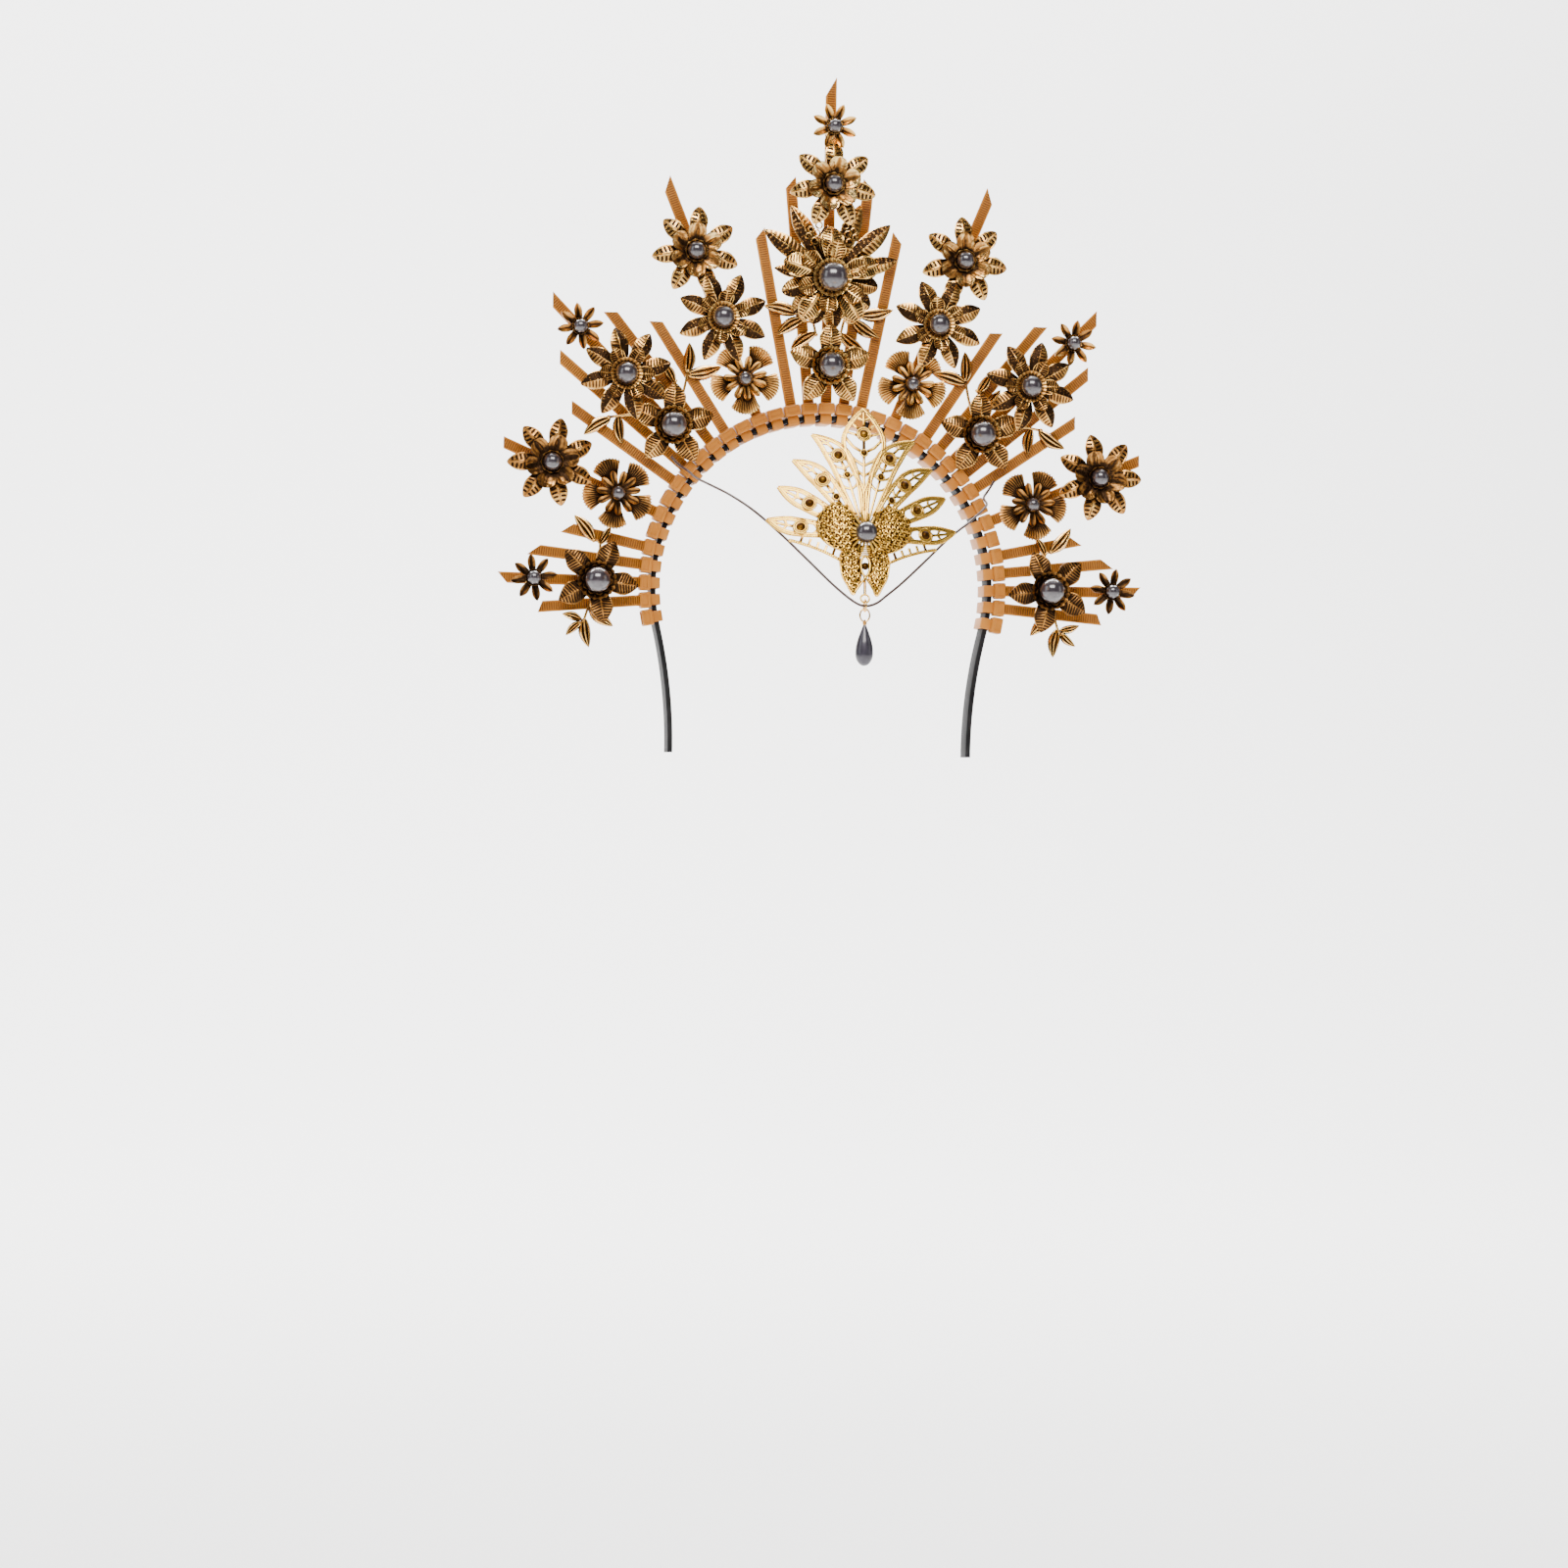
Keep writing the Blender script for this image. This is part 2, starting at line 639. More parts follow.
ochre_nylon = moulded_material(
    "ochre_nylon",
    dark=(0.43, 0.150, 0.016),
    light=(0.54, 0.206, 0.026),
    coarse=60.0,
    fine=1500.0,
    roughness=0.46,
    depth=0.05 * MM,
    shine=0.25,
)

for place, (tip, cut) in RAY_TIPS.items():
    for side in sides_of(place):
        whole = gather([tie_loop(), tie_head(), tie_tail(tip * MM, cut, side)])
        bmesh.ops.transform(whole, matrix=fan_matrix(place, side), verts=whole.verts)
        name = "ray_tie_" + side_name(place, side)
        tie = finished("ochre_" + name, whole, [ochre_nylon], sharp=32.0)
        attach(tie, "root")
        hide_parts(name)

trimmed = []
for place in SPACER_PLACES:
    for side in (-1, 1):
        whole = gather([tie_loop(), tie_head()])
        bmesh.ops.transform(whole, matrix=fan_matrix(place, side), verts=whole.verts)
        trimmed.append(whole)
spacers = finished("spacer_ties", gather(trimmed), [ochre_nylon], sharp=32.0)
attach(spacers, "root")
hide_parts("headband")


# The gilt stampings share one way of making: a flat blank is pressed into petals round a hub, its veins and
# cells are struck, and it is plated in yellow gold and toned, so that dark brown stays in the recesses. The
# layers are stacked on a boss, soldered, and the whole flower is glued to its tie.
SHEET = 0.9 * MM
SHEET_STEP = SHEET + 0.15 * MM  # from one layer of petals to the next
SHEET_TOP = 0.75 * MM
STAMPING = 0.45 * MM  # the thickness of a struck petal
RAY_FRONT = RAY_FORWARD + TIE_THICKNESS / 2
FLOWER_BACK = RAY_FORWARD + HEAD_DEPTH / 2 + 0.6 * MM
BOSS_RADIUS = 2.4 * MM
BOSS_PROFILE = ((0.0, 1.25), (0.15, 1.1), (0.4, 0.72), (1.0, 0.6))  # height, radius, as shares
MIDRIB_REACH = 0.08  # a petal's midrib and rim, as shares of its half width
RIM_REACH = 0.9
GOLD_PALE = (0.95, 0.66, 0.25)
GOLD_LIGHT = (0.86, 0.52, 0.155)
GOLD_MIDDLE = (0.48, 0.212, 0.050)
GOLD_TONED = (0.034, 0.017, 0.008)
RAG_REACH = 4.0 * MM  # how near a neighbour keeps the polishing rag off
RAG_STROKES = 26
TONER_BY_PLACE = 0.023  # more of it is left on each ray further down the crown
HAMMERED, GRANULATED, CRUMPLED = range(3)


def add_patina_group():
    """Toned gilding: pale where it is rubbed, deeper gold in the hollows, brown toner in the recesses."""
    group = bpy.data.node_groups.new("toned_gilding", "ShaderNodeTree")
    for name, kind in (
        ("Recess", "NodeSocketFloat"),
        ("Rubbed", "NodeSocketColor"),
        ("Plated", "NodeSocketColor"),
        ("Toned", "NodeSocketColor"),
        ("Patches", "NodeSocketFloat"),
        ("Polish", "NodeSocketFloat"),
    ):
        group.interface.new_socket(name, in_out="INPUT", socket_type=kind)
    group.interface.new_socket("Color", in_out="OUTPUT", socket_type="NodeSocketColor")
    group.interface.new_socket("Roughness", in_out="OUTPUT", socket_type="NodeSocketFloat")
    asked = group.nodes.new("NodeGroupInput")
    given = group.nodes.new("NodeGroupOutput")
    place = add_node(group, "TexCoord")
    patches = add_node(group, "TexNoise", {"Detail": 3.0})
    uneven = add_node(group, "MapRange", {"From Min": 0.3, "From Max": 0.7, "To Min": -0.16, "To Max": 0.20})
    depth = add_node(group, "Math", operation="ADD")
    hollow = add_node(group, "MapRange", interpolation_type="SMOOTHSTEP")
    set_inputs(hollow, {"From Min": 0.02, "From Max": 0.36})
    pooled = add_node(group, "MapRange", interpolation_type="SMOOTHSTEP")
    set_inputs(pooled, {"From Min": 0.24, "From Max": 0.72})
    gilding = add_node(group, "Mix", data_type="RGBA")
    toned = add_node(group, "Mix", data_type="RGBA")
    gloss = add_node(group, "MapRange", {"To Max": 0.46})
    link(place, "Object", patches, "Vector")
    link(asked, "Patches", patches, "Scale")
    link(patches, "Fac", uneven, "Value")
    link(asked, "Recess", depth, 0)
    link(uneven, "Result", depth, 1)
    link(depth, "Value", hollow, "Value")
    link(depth, "Value", pooled, "Value")
    link(hollow, "Result", gilding, "Factor")
    link(asked, "Rubbed", gilding, "A")
    link(asked, "Plated", gilding, "B")
    link(pooled, "Result", toned, "Factor")
    link(gilding, "Result", toned, "A")
    link(asked, "Toned", toned, "B")
    link(depth, "Value", gloss, "Value")
    link(asked, "Polish", gloss, "To Min")
    link(toned, "Result", given, "Color")
    link(gloss, "Result", given, "Roughness")
    return group


toned_gilding = add_patina_group()


def gilt_material(name, colours, polish, texture, scale, depth):
    """Toned gilding over a hammered (noise) or granulated (cells) surface, in its rubbed, plated and toned
    colours."""
    made, tree, shader = new_material(name)
    recess = add_node(tree, "Attribute", attribute_name="recess")
    patina = add_node(tree, "Group", node_tree=toned_gilding)
    set_inputs(patina, {tone: (*rgb, 1.0) for tone, rgb in zip(("Rubbed", "Plated", "Toned"), colours)})
    set_inputs(patina, {"Patches": 260.0, "Polish": polish})
    place = add_node(tree, "TexCoord")
    relief = add_node(tree, "Bump", {"Strength": 0.6, "Distance": depth})
    if texture == "hammered":
        struck = add_node(tree, "TexNoise", {"Detail": 2.0})
        height = "Fac"
        link(recess, "Fac", patina, "Recess")
    else:
        struck = add_node(tree, "TexVoronoi", feature="SMOOTH_F1")
        set_inputs(struck, {"Smoothness": 0.3})
        height = "Distance"
        relief.invert = True
        grooves = add_node(tree, "Math", operation="ADD", use_clamp=True)
        link(struck, height, grooves, 0)
        link(recess, "Fac", grooves, 1)
        link(grooves, "Value", patina, "Recess")
    set_inputs(struck, {"Scale": scale})
    link(place, "Object", struck, "Vector")
    link(patina, "Color", shader, "Base Color")
    link(patina, "Roughness", shader, "Roughness")
    link(struck, height, relief, "Height")
    link(relief, "Normal", shader, "Normal")
    set_inputs(shader, {"Metallic": 1.0})
    return made


light_gold = (GOLD_LIGHT, GOLD_MIDDLE, GOLD_TONED)
pale_gold = (GOLD_PALE, GOLD_MIDDLE, GOLD_TONED)
gilt = [
    gilt_material("hammered_gilt", light_gold, 0.20, "hammered", scale=1000.0, depth=0.20 * MM),
    gilt_material("granulated_gilt", pale_gold, 0.22, "granulated", scale=1300.0, depth=0.35 * MM),
    gilt_material("crumpled_gilt", pale_gold, 0.20, "hammered", scale=620.0, depth=0.75 * MM),
]


def even(count, start=0.0, end=1.0):
    """Stations at even steps from start to end."""
    return [start + (end - start) * i / count for i in range(count + 1)]


def mirrored(*stations):
    """Stations across a petal from edge to edge, by those of its right half."""
    return [*(-a for a in reversed(stations) if a), *stations]


def pressed(across, along, shape, finish=None, thickness=STAMPING):
    """A petal of sheet metal: a grid laid out by its stations across (-1 to 1) and along (0 to 1), pressed
    by the shape, which gives a place and how deep in a recess it lies, and drawn back by its thickness.
    Finish gives each column its gilding."""
    columns = len(across) - 1
    bm = bmesh.new()
    layer = bm.verts.layers.float.new("recess")
    bmesh.ops.create_grid(bm, x_segments=columns, y_segments=len(along) - 1, size=1.0, calc_uvs=True)
    if finish:
        for face in bm.faces:
            face.material_index = finish(int((face.calc_center_median().x + 1) / 2 * columns))
    for i, vert in enumerate(bm.verts):
        *place, recess = shape(across[i % (columns + 1)], along[i // (columns + 1)])
        vert.co = place
        vert[layer] = min(max(recess, -0.5), 1.0)
    bmesh.ops.remove_doubles(bm, verts=bm.verts, dist=10 * WELD)
    drawn = bmesh.ops.extrude_face_region(bm, geom=bm.faces[:])["geom"]
    back = [g for g in drawn if isinstance(g, bmesh.types.BMVert)]
    bmesh.ops.translate(bm, vec=(0.0, 0.0, -thickness), verts=back)
    return faced_out(bm)


def petal(
    foot,
    tip,
    half,
    root,
    fullest,
    blunt,
    arch=0.0,
    end_rise=0.0,
    ridge=0.0,
    curl=0.0,
    veins=0,
    slant=0.0,
    vein=0.0,
    rim=0.0,
    midrib=0.0,
    lift=SHEET_TOP,
    tone=0.0,
):
    """How a petal is pressed. It runs from foot to tip, half is its greatest half width and root its share
    at the foot. A lower blunt makes a blunter tip. Arch lifts its middle and end_rise its tip, ridge (or
    trough, below 0) its middle line and curl its edges. Veins run back from its middle line at a slant."""

    def shape(a, t):
        if t < fullest:
            swell = root + (1 - root) * math.sin(math.pi / 2 * t / fullest)
        else:
            swell = max(0.0, math.cos(math.pi / 2 * (t - fullest) / (1 - fullest))) ** blunt
        x = a * half * swell
        y = foot + (tip - foot) * t + abs(a) * slant * swell * half * (1 - t)
        z = lift + arch * math.sin(math.pi * t) + end_rise * t**2
        z += ridge * (1 - abs(a)) * swell + curl * a * a * swell
        recess = tone + 0.55 * (1 - t) ** 2
        if veins and MIDRIB_REACH < abs(a) < RIM_REACH:
            wave = math.cos(math.tau * veins * t)
            z += vein * wave * swell
            recess += 0.9 * (0.5 - 0.5 * wave) ** 1.3
        if rim and abs(a) > RIM_REACH:
            z += rim * min(1.0, 3 * swell)
            recess -= 0.5
        if midrib and abs(a) < MIDRIB_REACH:
            z += midrib * min(1.0, 3 * swell)
            recess -= 0.4
        if ridge < 0:
            recess += 0.5 * max(0.0, 0.3 - abs(a)) / 0.3
        return x, y, z, recess

    return shape


def round_dish(radius, depth, ribs, relief, lift, tone, petal_edge=0.0, core=0.12):
    """A ribbed dish about z, pressed from a grid turned round its middle: its floor at lift, its rim depth
    above, and the edge of each rib drawn out by petal_edge. The core is left open."""

    def shape(a, t):
        turn = math.pi * a
        reach = core + (1 - core) * t
        wave = math.cos(ribs * turn)
        edge = 1.0 + petal_edge * wave * t**3
        z = lift + depth * reach**1.6 + relief * wave * reach
        recess = tone + 0.5 * (1 - t) + 0.5 * (0.5 - 0.5 * wave)
        return radius * reach * edge * math.sin(turn), radius * reach * edge * math.cos(turn), z, recess

    return shape


def whorl(bm, count, turn_deg=0.0):
    """A ring of petals about z from one that points along y, its first turned clockwise."""
    turn = Matrix.Rotation(-math.radians(turn_deg), 3, "Z")
    bmesh.ops.rotate(bm, cent=(0, 0, 0), matrix=turn, verts=bm.verts)
    bmesh.ops.spin(
        bm,
        geom=[*bm.verts, *bm.edges, *bm.faces],
        cent=(0, 0, 0),
        axis=(0, 0, 1),
        angle=math.tau * (count - 1) / count,
        steps=count - 1,
        use_duplicate=True,
    )
    return bm


def collar(radius, thickness, height, beads=0):
    """A round wire, or a ring of beads, about z."""
    if not beads:
        return wire(level_circle(Vector((0.0, 0.0, height)), radius, 32), thickness, sides=6, closed=True)
    bm = new_shape()
    bmesh.ops.create_uvsphere(bm, u_segments=6, v_segments=4, radius=thickness)
    bmesh.ops.translate(bm, vec=(0.0, radius, height), verts=bm.verts)
    return whorl(bm, beads)


def boss(top):
    """The boss that carries the layers, down to the drop of glue on the tie."""
    rings = []
    for height, share in BOSS_PROFILE:
        rings.append(level_circle(Vector((0.0, 0.0, top * height)), BOSS_RADIUS * share, 16))
    return skin(rings)


def rubbed_back(mesh, pearls=()):
    """Leaves more toner where the sheet's neighbours or a pearl keep a polishing rag off: strokes from all
    over the front find how closely each point is covered."""
    points = [v.co.copy() for v in mesh.vertices]
    faces = [tuple(p.vertices) for p in mesh.polygons]
    for spot, radius in pearls:
        stand_in = ball(spot, radius, 16, 10)
        base = len(points)
        stand_in.verts.index_update()
        points += [v.co.copy() for v in stand_in.verts]
        faces += [tuple(base + v.index for v in face.verts) for face in stand_in.faces]
        stand_in.free()
    cover = BVHTree.FromPolygons(points, faces)
    ways = []
    for i in range(RAG_STROKES):
        height = 1 - (2 * i + 1) / RAG_STROKES
        turn = i * math.pi * (3 - math.sqrt(5))
        flat = math.sqrt(1 - height * height)
        ways.append(Vector((flat * math.cos(turn), flat * math.sin(turn), height)))
    for vert, depth in zip(mesh.vertices, mesh.attributes["recess"].data):
        normal = vert.normal
        start = vert.co + normal * 0.06 * MM
        covered = 0.0
        seen = 0.0
        for way in ways:
            share = way.dot(normal)
            if share > 0.12:
                seen += share
                reach = cover.ray_cast(start, way, RAG_REACH)[3]
                if reach is not None:
                    covered += share * (1 - reach / RAG_REACH)
        depth.value = min(1.0, max(0.0, 0.75 * depth.value + 1.5 * covered / max(seen, 0.1) - 0.10))


def ball(middle, radius, across=32, high=20):
    """A ball with its poles to the front and back."""
    bm = new_shape()
    bmesh.ops.create_uvsphere(bm, u_segments=across, v_segments=high, radius=radius)
    bmesh.ops.rotate(bm, cent=(0, 0, 0), matrix=Matrix.Rotation(math.pi / 2, 3, "X"), verts=bm.verts)
    bmesh.ops.translate(bm, vec=middle, verts=bm.verts)
    return bm


pearl_seats = []


def plant(kind, layers, pearl_mm, seat, top_steps, rows):
    """Puts a kind of flower at each of its places. A row gives its ray, its middle's distance from the
    fan's centre, how many sheets it is raised and its turn. The pearl sits on the top layer, so many steps
    up, with its middle a share of its radius above. Its place is noted for the pearls' own section."""
    base = finished(kind + "_gilt", gather(layers), gilt, sharp=35.0)
    bpy.context.scene.collection.objects.unlink(base)
    height = top_steps * SHEET_STEP + SHEET + seat * pearl_mm * MM
    rubbed_back(base.data, [(Vector((0.0, 0.0, height)), pearl_mm * MM)])
    for place, middle, sheets, turn_deg in rows:
        for side in sides_of(place):
            level = FLOWER_BACK + sheets * SHEET
            turn = Matrix.Rotation(-math.radians(turn_deg) * side, 4, "Z")
            mirror = Matrix.Scale(side, 4, (1.0, 0.0, 0.0))
            spot = fan_matrix(place, side) @ Matrix.Translation((0.0, middle * MM, level))
            mesh = base.data.copy()
            mesh.transform(spot @ turn @ mirror)
            if side < 0:
                mesh.flip_normals()
            for depth in mesh.attributes["recess"].data:
                depth.value = min(1.0, depth.value + TONER_BY_PLACE * place)
            name = "_".join([kind, "flower", side_name(place, side)])
            piece = bpy.data.objects.new("gilt_" + name, mesh)
            bpy.context.scene.collection.objects.link(piece)
            glue = gather([boss(level - RAY_FRONT - 0.1 * MM)])
            bmesh.ops.translate(glue, vec=(0.0, middle * MM, RAY_FRONT + 0.05 * MM), verts=glue.verts)
            bmesh.ops.transform(glue, matrix=fan_matrix(place, side), verts=glue.verts)
            glue.from_mesh(mesh)
            glue.to_mesh(mesh)
            glue.free()
            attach(piece, "root")
            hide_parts(name)
            pearl_seats.append((spot @ Vector((0.0, 0.0, height)), pearl_mm * MM, name))
    bpy.data.objects.remove(base)


# The daisies: small flowers of eight narrow petals, each creased into a trough and rubbed bright, with a
# small pearl in a beaded collar.
DAISY = 8.6 * MM
daisy_layers = [
    whorl(
        pressed(
            mirrored(0.0, 0.15, 0.45, 0.8, 1.0),
            even(12),
            petal(0.10 * DAISY, 1.0 * DAISY, 0.17 * DAISY, root=0.45, fullest=0.62, blunt=0.75,
                  end_rise=0.10 * DAISY, ridge=-0.09 * DAISY, curl=0.03 * DAISY),
        ),
        8,
    ),
    pressed(
        even(32, -1),
        even(5),
        round_dish(0.36 * DAISY, 0.9 * MM, ribs=12, relief=0.12 * MM, lift=SHEET_TOP, tone=-0.2),
    ),
    collar(0.31 * DAISY, 0.22 * MM, SHEET_TOP + 0.75 * MM, beads=18),
]
plant(
    "daisy",
    daisy_layers,
    pearl_mm=2.5,
    seat=0.6,
    top_steps=0,
    rows=[(0, 168.0, 3.9, 22.5), (8, 130.0, 0.0, 10.0), (16, 107.0, 2.4, 10.0)],
)


# The stars: seven veined leaves, each a wire rim and a midrib joined by slanting bars with deep toned cells
# between them, under six wide crinkled petals that curl up round the pearl. They are struck from sheet.
STAR = 16.2 * MM


def sunk(shape, cells, first, last, pitch, depth):
    """Strikes deep cells into a petal between its bars, which lie at every pitch from the first row to the
    last."""

    def struck(a, t):
        x, y, z, recess = shape(a, t)
        row = t * cells
        if first < row < last and 0.2 < abs(a) < 0.8 and row % pitch > 0.45 * pitch:
            return x, y, z - depth, 1.0
        return x, y, z, recess

    return struck


def crinkled(shape, ruffle, count, wrinkle):
    """Adds wrinkles that fan out along a petal, and a ruffled edge."""

    def pressed_again(a, t):
        x, y, z, recess = shape(a, t)
        wave = math.cos(math.tau * count * a) * t * (1 - 0.3 * t)
        z += (wrinkle * wave + ruffle * math.sin(9 * t + 4 * a) * a * a * t) * (1 - t**6)
        return x, y, z, recess + 0.30 * (0.5 - 0.5 * wave)

    return pressed_again


star_layers = [
    whorl(
        pressed(
            mirrored(0.0, 0.08, 0.17, 0.26, 0.5, 0.74, 0.84, 0.92, 1.0),
            even(56),
            sunk(
                petal(0.20 * STAR, 1.0 * STAR, 0.205 * STAR, root=0.45, fullest=0.50, blunt=0.62,
                      arch=0.10 * STAR, ridge=0.05 * STAR, slant=0.55, rim=0.18 * MM, midrib=0.22 * MM),
                cells=56,
                first=6,
                last=52,
                pitch=7,
                depth=0.30 * MM,
            ),
        ),
        7,
    ),
    whorl(
        pressed(
            even(16, -1),
            even(14),
            crinkled(
                petal(0.10 * STAR, 0.62 * STAR, 0.215 * STAR, root=0.40, fullest=0.62, blunt=0.45,
                      end_rise=0.16 * STAR, curl=0.05 * STAR, ridge=-0.02 * STAR,
                      lift=SHEET_STEP + SHEET_TOP, tone=0.1),
                ruffle=0.45 * MM,
                count=2.5,
                wrinkle=0.22 * MM,
            ),
            finish=lambda column: CRUMPLED,
        ),
        6,
        12.0,
    ),
    pressed(
        even(36, -1),
        even(6),
        round_dish(0.25 * STAR, 1.2 * MM, ribs=9, relief=0.15 * MM, lift=SHEET_STEP + SHEET_TOP,
                   petal_edge=0.05, tone=-0.2),
    ),
]
plant(
    "star",
    star_layers,
    pearl_mm=3.2,
    seat=0.6,
    top_steps=1,
    rows=[(0, 147.0, 3.0, 0.0), (4, 131.0, 0.0, 25.0), (12, 110.0, 2.4, 24.0)],
)


# The granulated flowers: eight creased leaves, one half of each granulated and bright and the other smooth
# and dark, under six oval petals with a raised rim and slanting ridges, round a ribbed saucer that holds the
# pearl.
GRAIN = 17.0 * MM
CREASED_LEAF = mirrored(0.03, 0.12, 0.4, 0.7, 0.93, 1.0)  # stations across a leaf and a petal
RIMMED_PETAL = mirrored(0.04, 0.12, 0.35, 0.6, 0.84, 0.93, 1.0)


def granulated_half(column):
    """Grains on the left half of a creased leaf, inside its rim."""
    return GRANULATED if 1 <= column <= 4 else HAMMERED


grain_layers = [
    whorl(
        pressed(
            CREASED_LEAF,
            even(44),
            petal(0.20 * GRAIN, 1.0 * GRAIN, 0.195 * GRAIN, root=0.5, fullest=0.48, blunt=0.72,
                  arch=0.10 * GRAIN, ridge=0.065 * GRAIN, veins=11, slant=0.5, vein=0.09 * MM, rim=0.10 * MM,
                  midrib=0.15 * MM),
            finish=granulated_half,
        ),
        8,
    ),
    whorl(
        pressed(
            RIMMED_PETAL,
            even(40),
            petal(0.14 * GRAIN, 0.60 * GRAIN, 0.165 * GRAIN, root=0.55, fullest=0.50, blunt=0.60,
                  end_rise=0.15 * GRAIN, curl=0.03 * GRAIN, veins=9, slant=0.5, vein=0.11 * MM,
                  rim=0.22 * MM, midrib=0.1 * MM, lift=SHEET_STEP + SHEET_TOP),
        ),
        6,
        30.0,
    ),
    pressed(
        even(72, -1),
        even(7),
        round_dish(0.34 * GRAIN, 1.3 * MM, ribs=24, relief=0.14 * MM, lift=SHEET_STEP + SHEET_TOP - 0.2 * MM,
                   tone=-0.35),
    ),
    collar(0.235 * GRAIN, 0.16 * MM, SHEET_STEP + SHEET_TOP + 0.9 * MM),
]
plant(
    "grain",
    grain_layers,
    pearl_mm=3.9,
    seat=0.6,
    top_steps=1,
    rows=[(4, 105.0, 3.2, 0.0), (8, 106.4, 2.6, 15.0)],
)


# The shells: five fan-shaped scallops with fine ribs and a toothed edge, under a whorl of eleven narrow
# spoon petals, and a small pearl in a plain gold collar.
SHELL = 13.4 * MM


def scallop(foot, reach, half_angle, ribs, relief):
    """A fan that widens from its foot to a toothed round edge."""

    def shape(a, t):
        wave = math.cos(math.pi * ribs * a)
        spread = half_angle * (0.72 + 0.28 * t)
        turn = a * spread
        edge = reach * (1.0 - 0.10 * a * a) + 0.02 * reach * wave
        y = foot + (edge - foot) * t
        z = SHEET_TOP + 0.05 * reach * math.sin(math.pi * t) + 0.10 * reach * t
        z += relief * wave * min(1.0, 2 * t) - 0.05 * reach * (1 - a * a) * t
        recess = 0.6 * (1 - t) + 0.45 * (0.5 - 0.5 * wave) - 0.3 * max(0.0, t - 0.85) / 0.15
        return y * math.sin(turn), y * math.cos(turn), z, recess

    return shape


shell_layers = [
    whorl(
        pressed(
            even(44, -1),
            [0, 0.15, 0.3, 0.45, 0.6, 0.75, 0.88, 0.95, 1.0],
            scallop(0.22 * SHELL, 0.97 * SHELL, math.radians(27.5), ribs=11, relief=0.13 * MM),
        ),
        5,
    ),
    whorl(
        pressed(
            mirrored(0.0, 0.2, 0.55, 0.8, 1.0),
            even(12),
            petal(0.12 * SHELL, 0.62 * SHELL, 0.092 * SHELL, root=0.5, fullest=0.72, blunt=0.5,
                  end_rise=0.09 * SHELL, ridge=-0.05 * SHELL, rim=0.14 * MM, lift=SHEET_STEP + SHEET_TOP),
        ),
        11,
        18.0,
    ),
    pressed(
        even(32, -1),
        even(4),
        round_dish(0.20 * SHELL, 0.9 * MM, ribs=10, relief=0.08 * MM, lift=SHEET_STEP + SHEET_TOP, tone=0.0),
    ),
    collar(0.165 * SHELL, 0.30 * MM, SHEET_STEP + SHEET_TOP + 0.75 * MM),
]
plant(
    "shell",
    shell_layers,
    pearl_mm=2.4,
    seat=0.6,
    top_steps=1,
    rows=[(4, 81.6, 0.0, 16.0), (12, 83.4, 0.0, 30.0)],
)


# The cup flowers: five broad pointed leaves with wire rims and chevron veins, and in the middle a deep
# ribbed cup with a lobed edge, which holds the pearl.
CUP = 15.6 * MM
cup_layers = [
    whorl(
        pressed(
            RIMMED_PETAL,
            even(48),
            petal(0.22 * CUP, 1.0 * CUP, 0.27 * CUP, root=0.72, fullest=0.40, blunt=0.78, arch=0.09 * CUP,
                  ridge=0.05 * CUP, veins=11, slant=0.55, vein=0.12 * MM, rim=0.24 * MM, midrib=0.2 * MM),
        ),
        5,
    ),
    pressed(
        even(80, -1),
        even(8),
        round_dish(0.45 * CUP, 2.3 * MM, ribs=20, relief=0.20 * MM, lift=SHEET_TOP,
                   petal_edge=0.03, tone=-0.4, core=0.2),
    ),
    pressed(
        even(40, -1),
        even(5),
        round_dish(0.34 * CUP, 1.4 * MM, ribs=10, relief=0.25 * MM, lift=SHEET_TOP + 1.1 * MM,
                   petal_edge=0.08, tone=-0.3, core=0.2),
    ),
]
plant(
    "cup",
    cup_layers,
    pearl_mm=4.6,
    seat=0.9,
    top_steps=0,
    rows=[(0, 81.0, 2.6, 0.0), (8, 81.3, 0.0, 25.0), (16, 84.0, 0.0, 30.0)],
)


# The centre flower: the biggest pearl in a ribbed cup, with six engraved pointed petals round it, five big
# leaves with deep toned cells under them, and fourteen long creased leaves behind, of which five stand out
# above them.
CENTRE = 30.0 * MM
LONG_LEAF_REACHES = [0.64, 0.98, 1.0, 0.87, 0.60, 0.60, 0.60, 0.62, 0.60, 0.62, 0.62, 0.70, 1.0, 1.0]
LONG_LEAF_TURN = -4.0
SHORT_LEAF = 0.65  # a leaf of less reach is broad and blunt
WIRE_RINGS = [  # distance from the middle, turn from the top and radius
    (17.0, 20.0, 1.25),
    (19.6, 14.5, 1.15),
    (17.2, 30.0, 1.1),
    (14.6, 26.0, 1.2),
    (19.0, 24.5, 1.0),
]
centre_layers = []
for number, reach in enumerate(LONG_LEAF_REACHES):
    short = reach < SHORT_LEAF
    half = 0.120 if short else 0.118 * reach
    leaf = pressed(
        CREASED_LEAF,
        even(56),
        petal(0.16 * CENTRE, reach * CENTRE, half * CENTRE, root=0.6, fullest=0.55,
              blunt=0.5 if short else 0.78, arch=0.03 * CENTRE, ridge=0.035 * CENTRE, veins=14, slant=0.6,
              vein=0.11 * MM, rim=0.14 * MM, midrib=0.16 * MM, tone=0.15 if short else 0.0),
        finish=granulated_half,
    )
    angle = -math.tau * number / len(LONG_LEAF_REACHES) - math.radians(LONG_LEAF_TURN)
    bmesh.ops.rotate(leaf, cent=(0, 0, 0), matrix=Matrix.Rotation(angle, 3, "Z"), verts=leaf.verts)
    centre_layers.append(leaf)
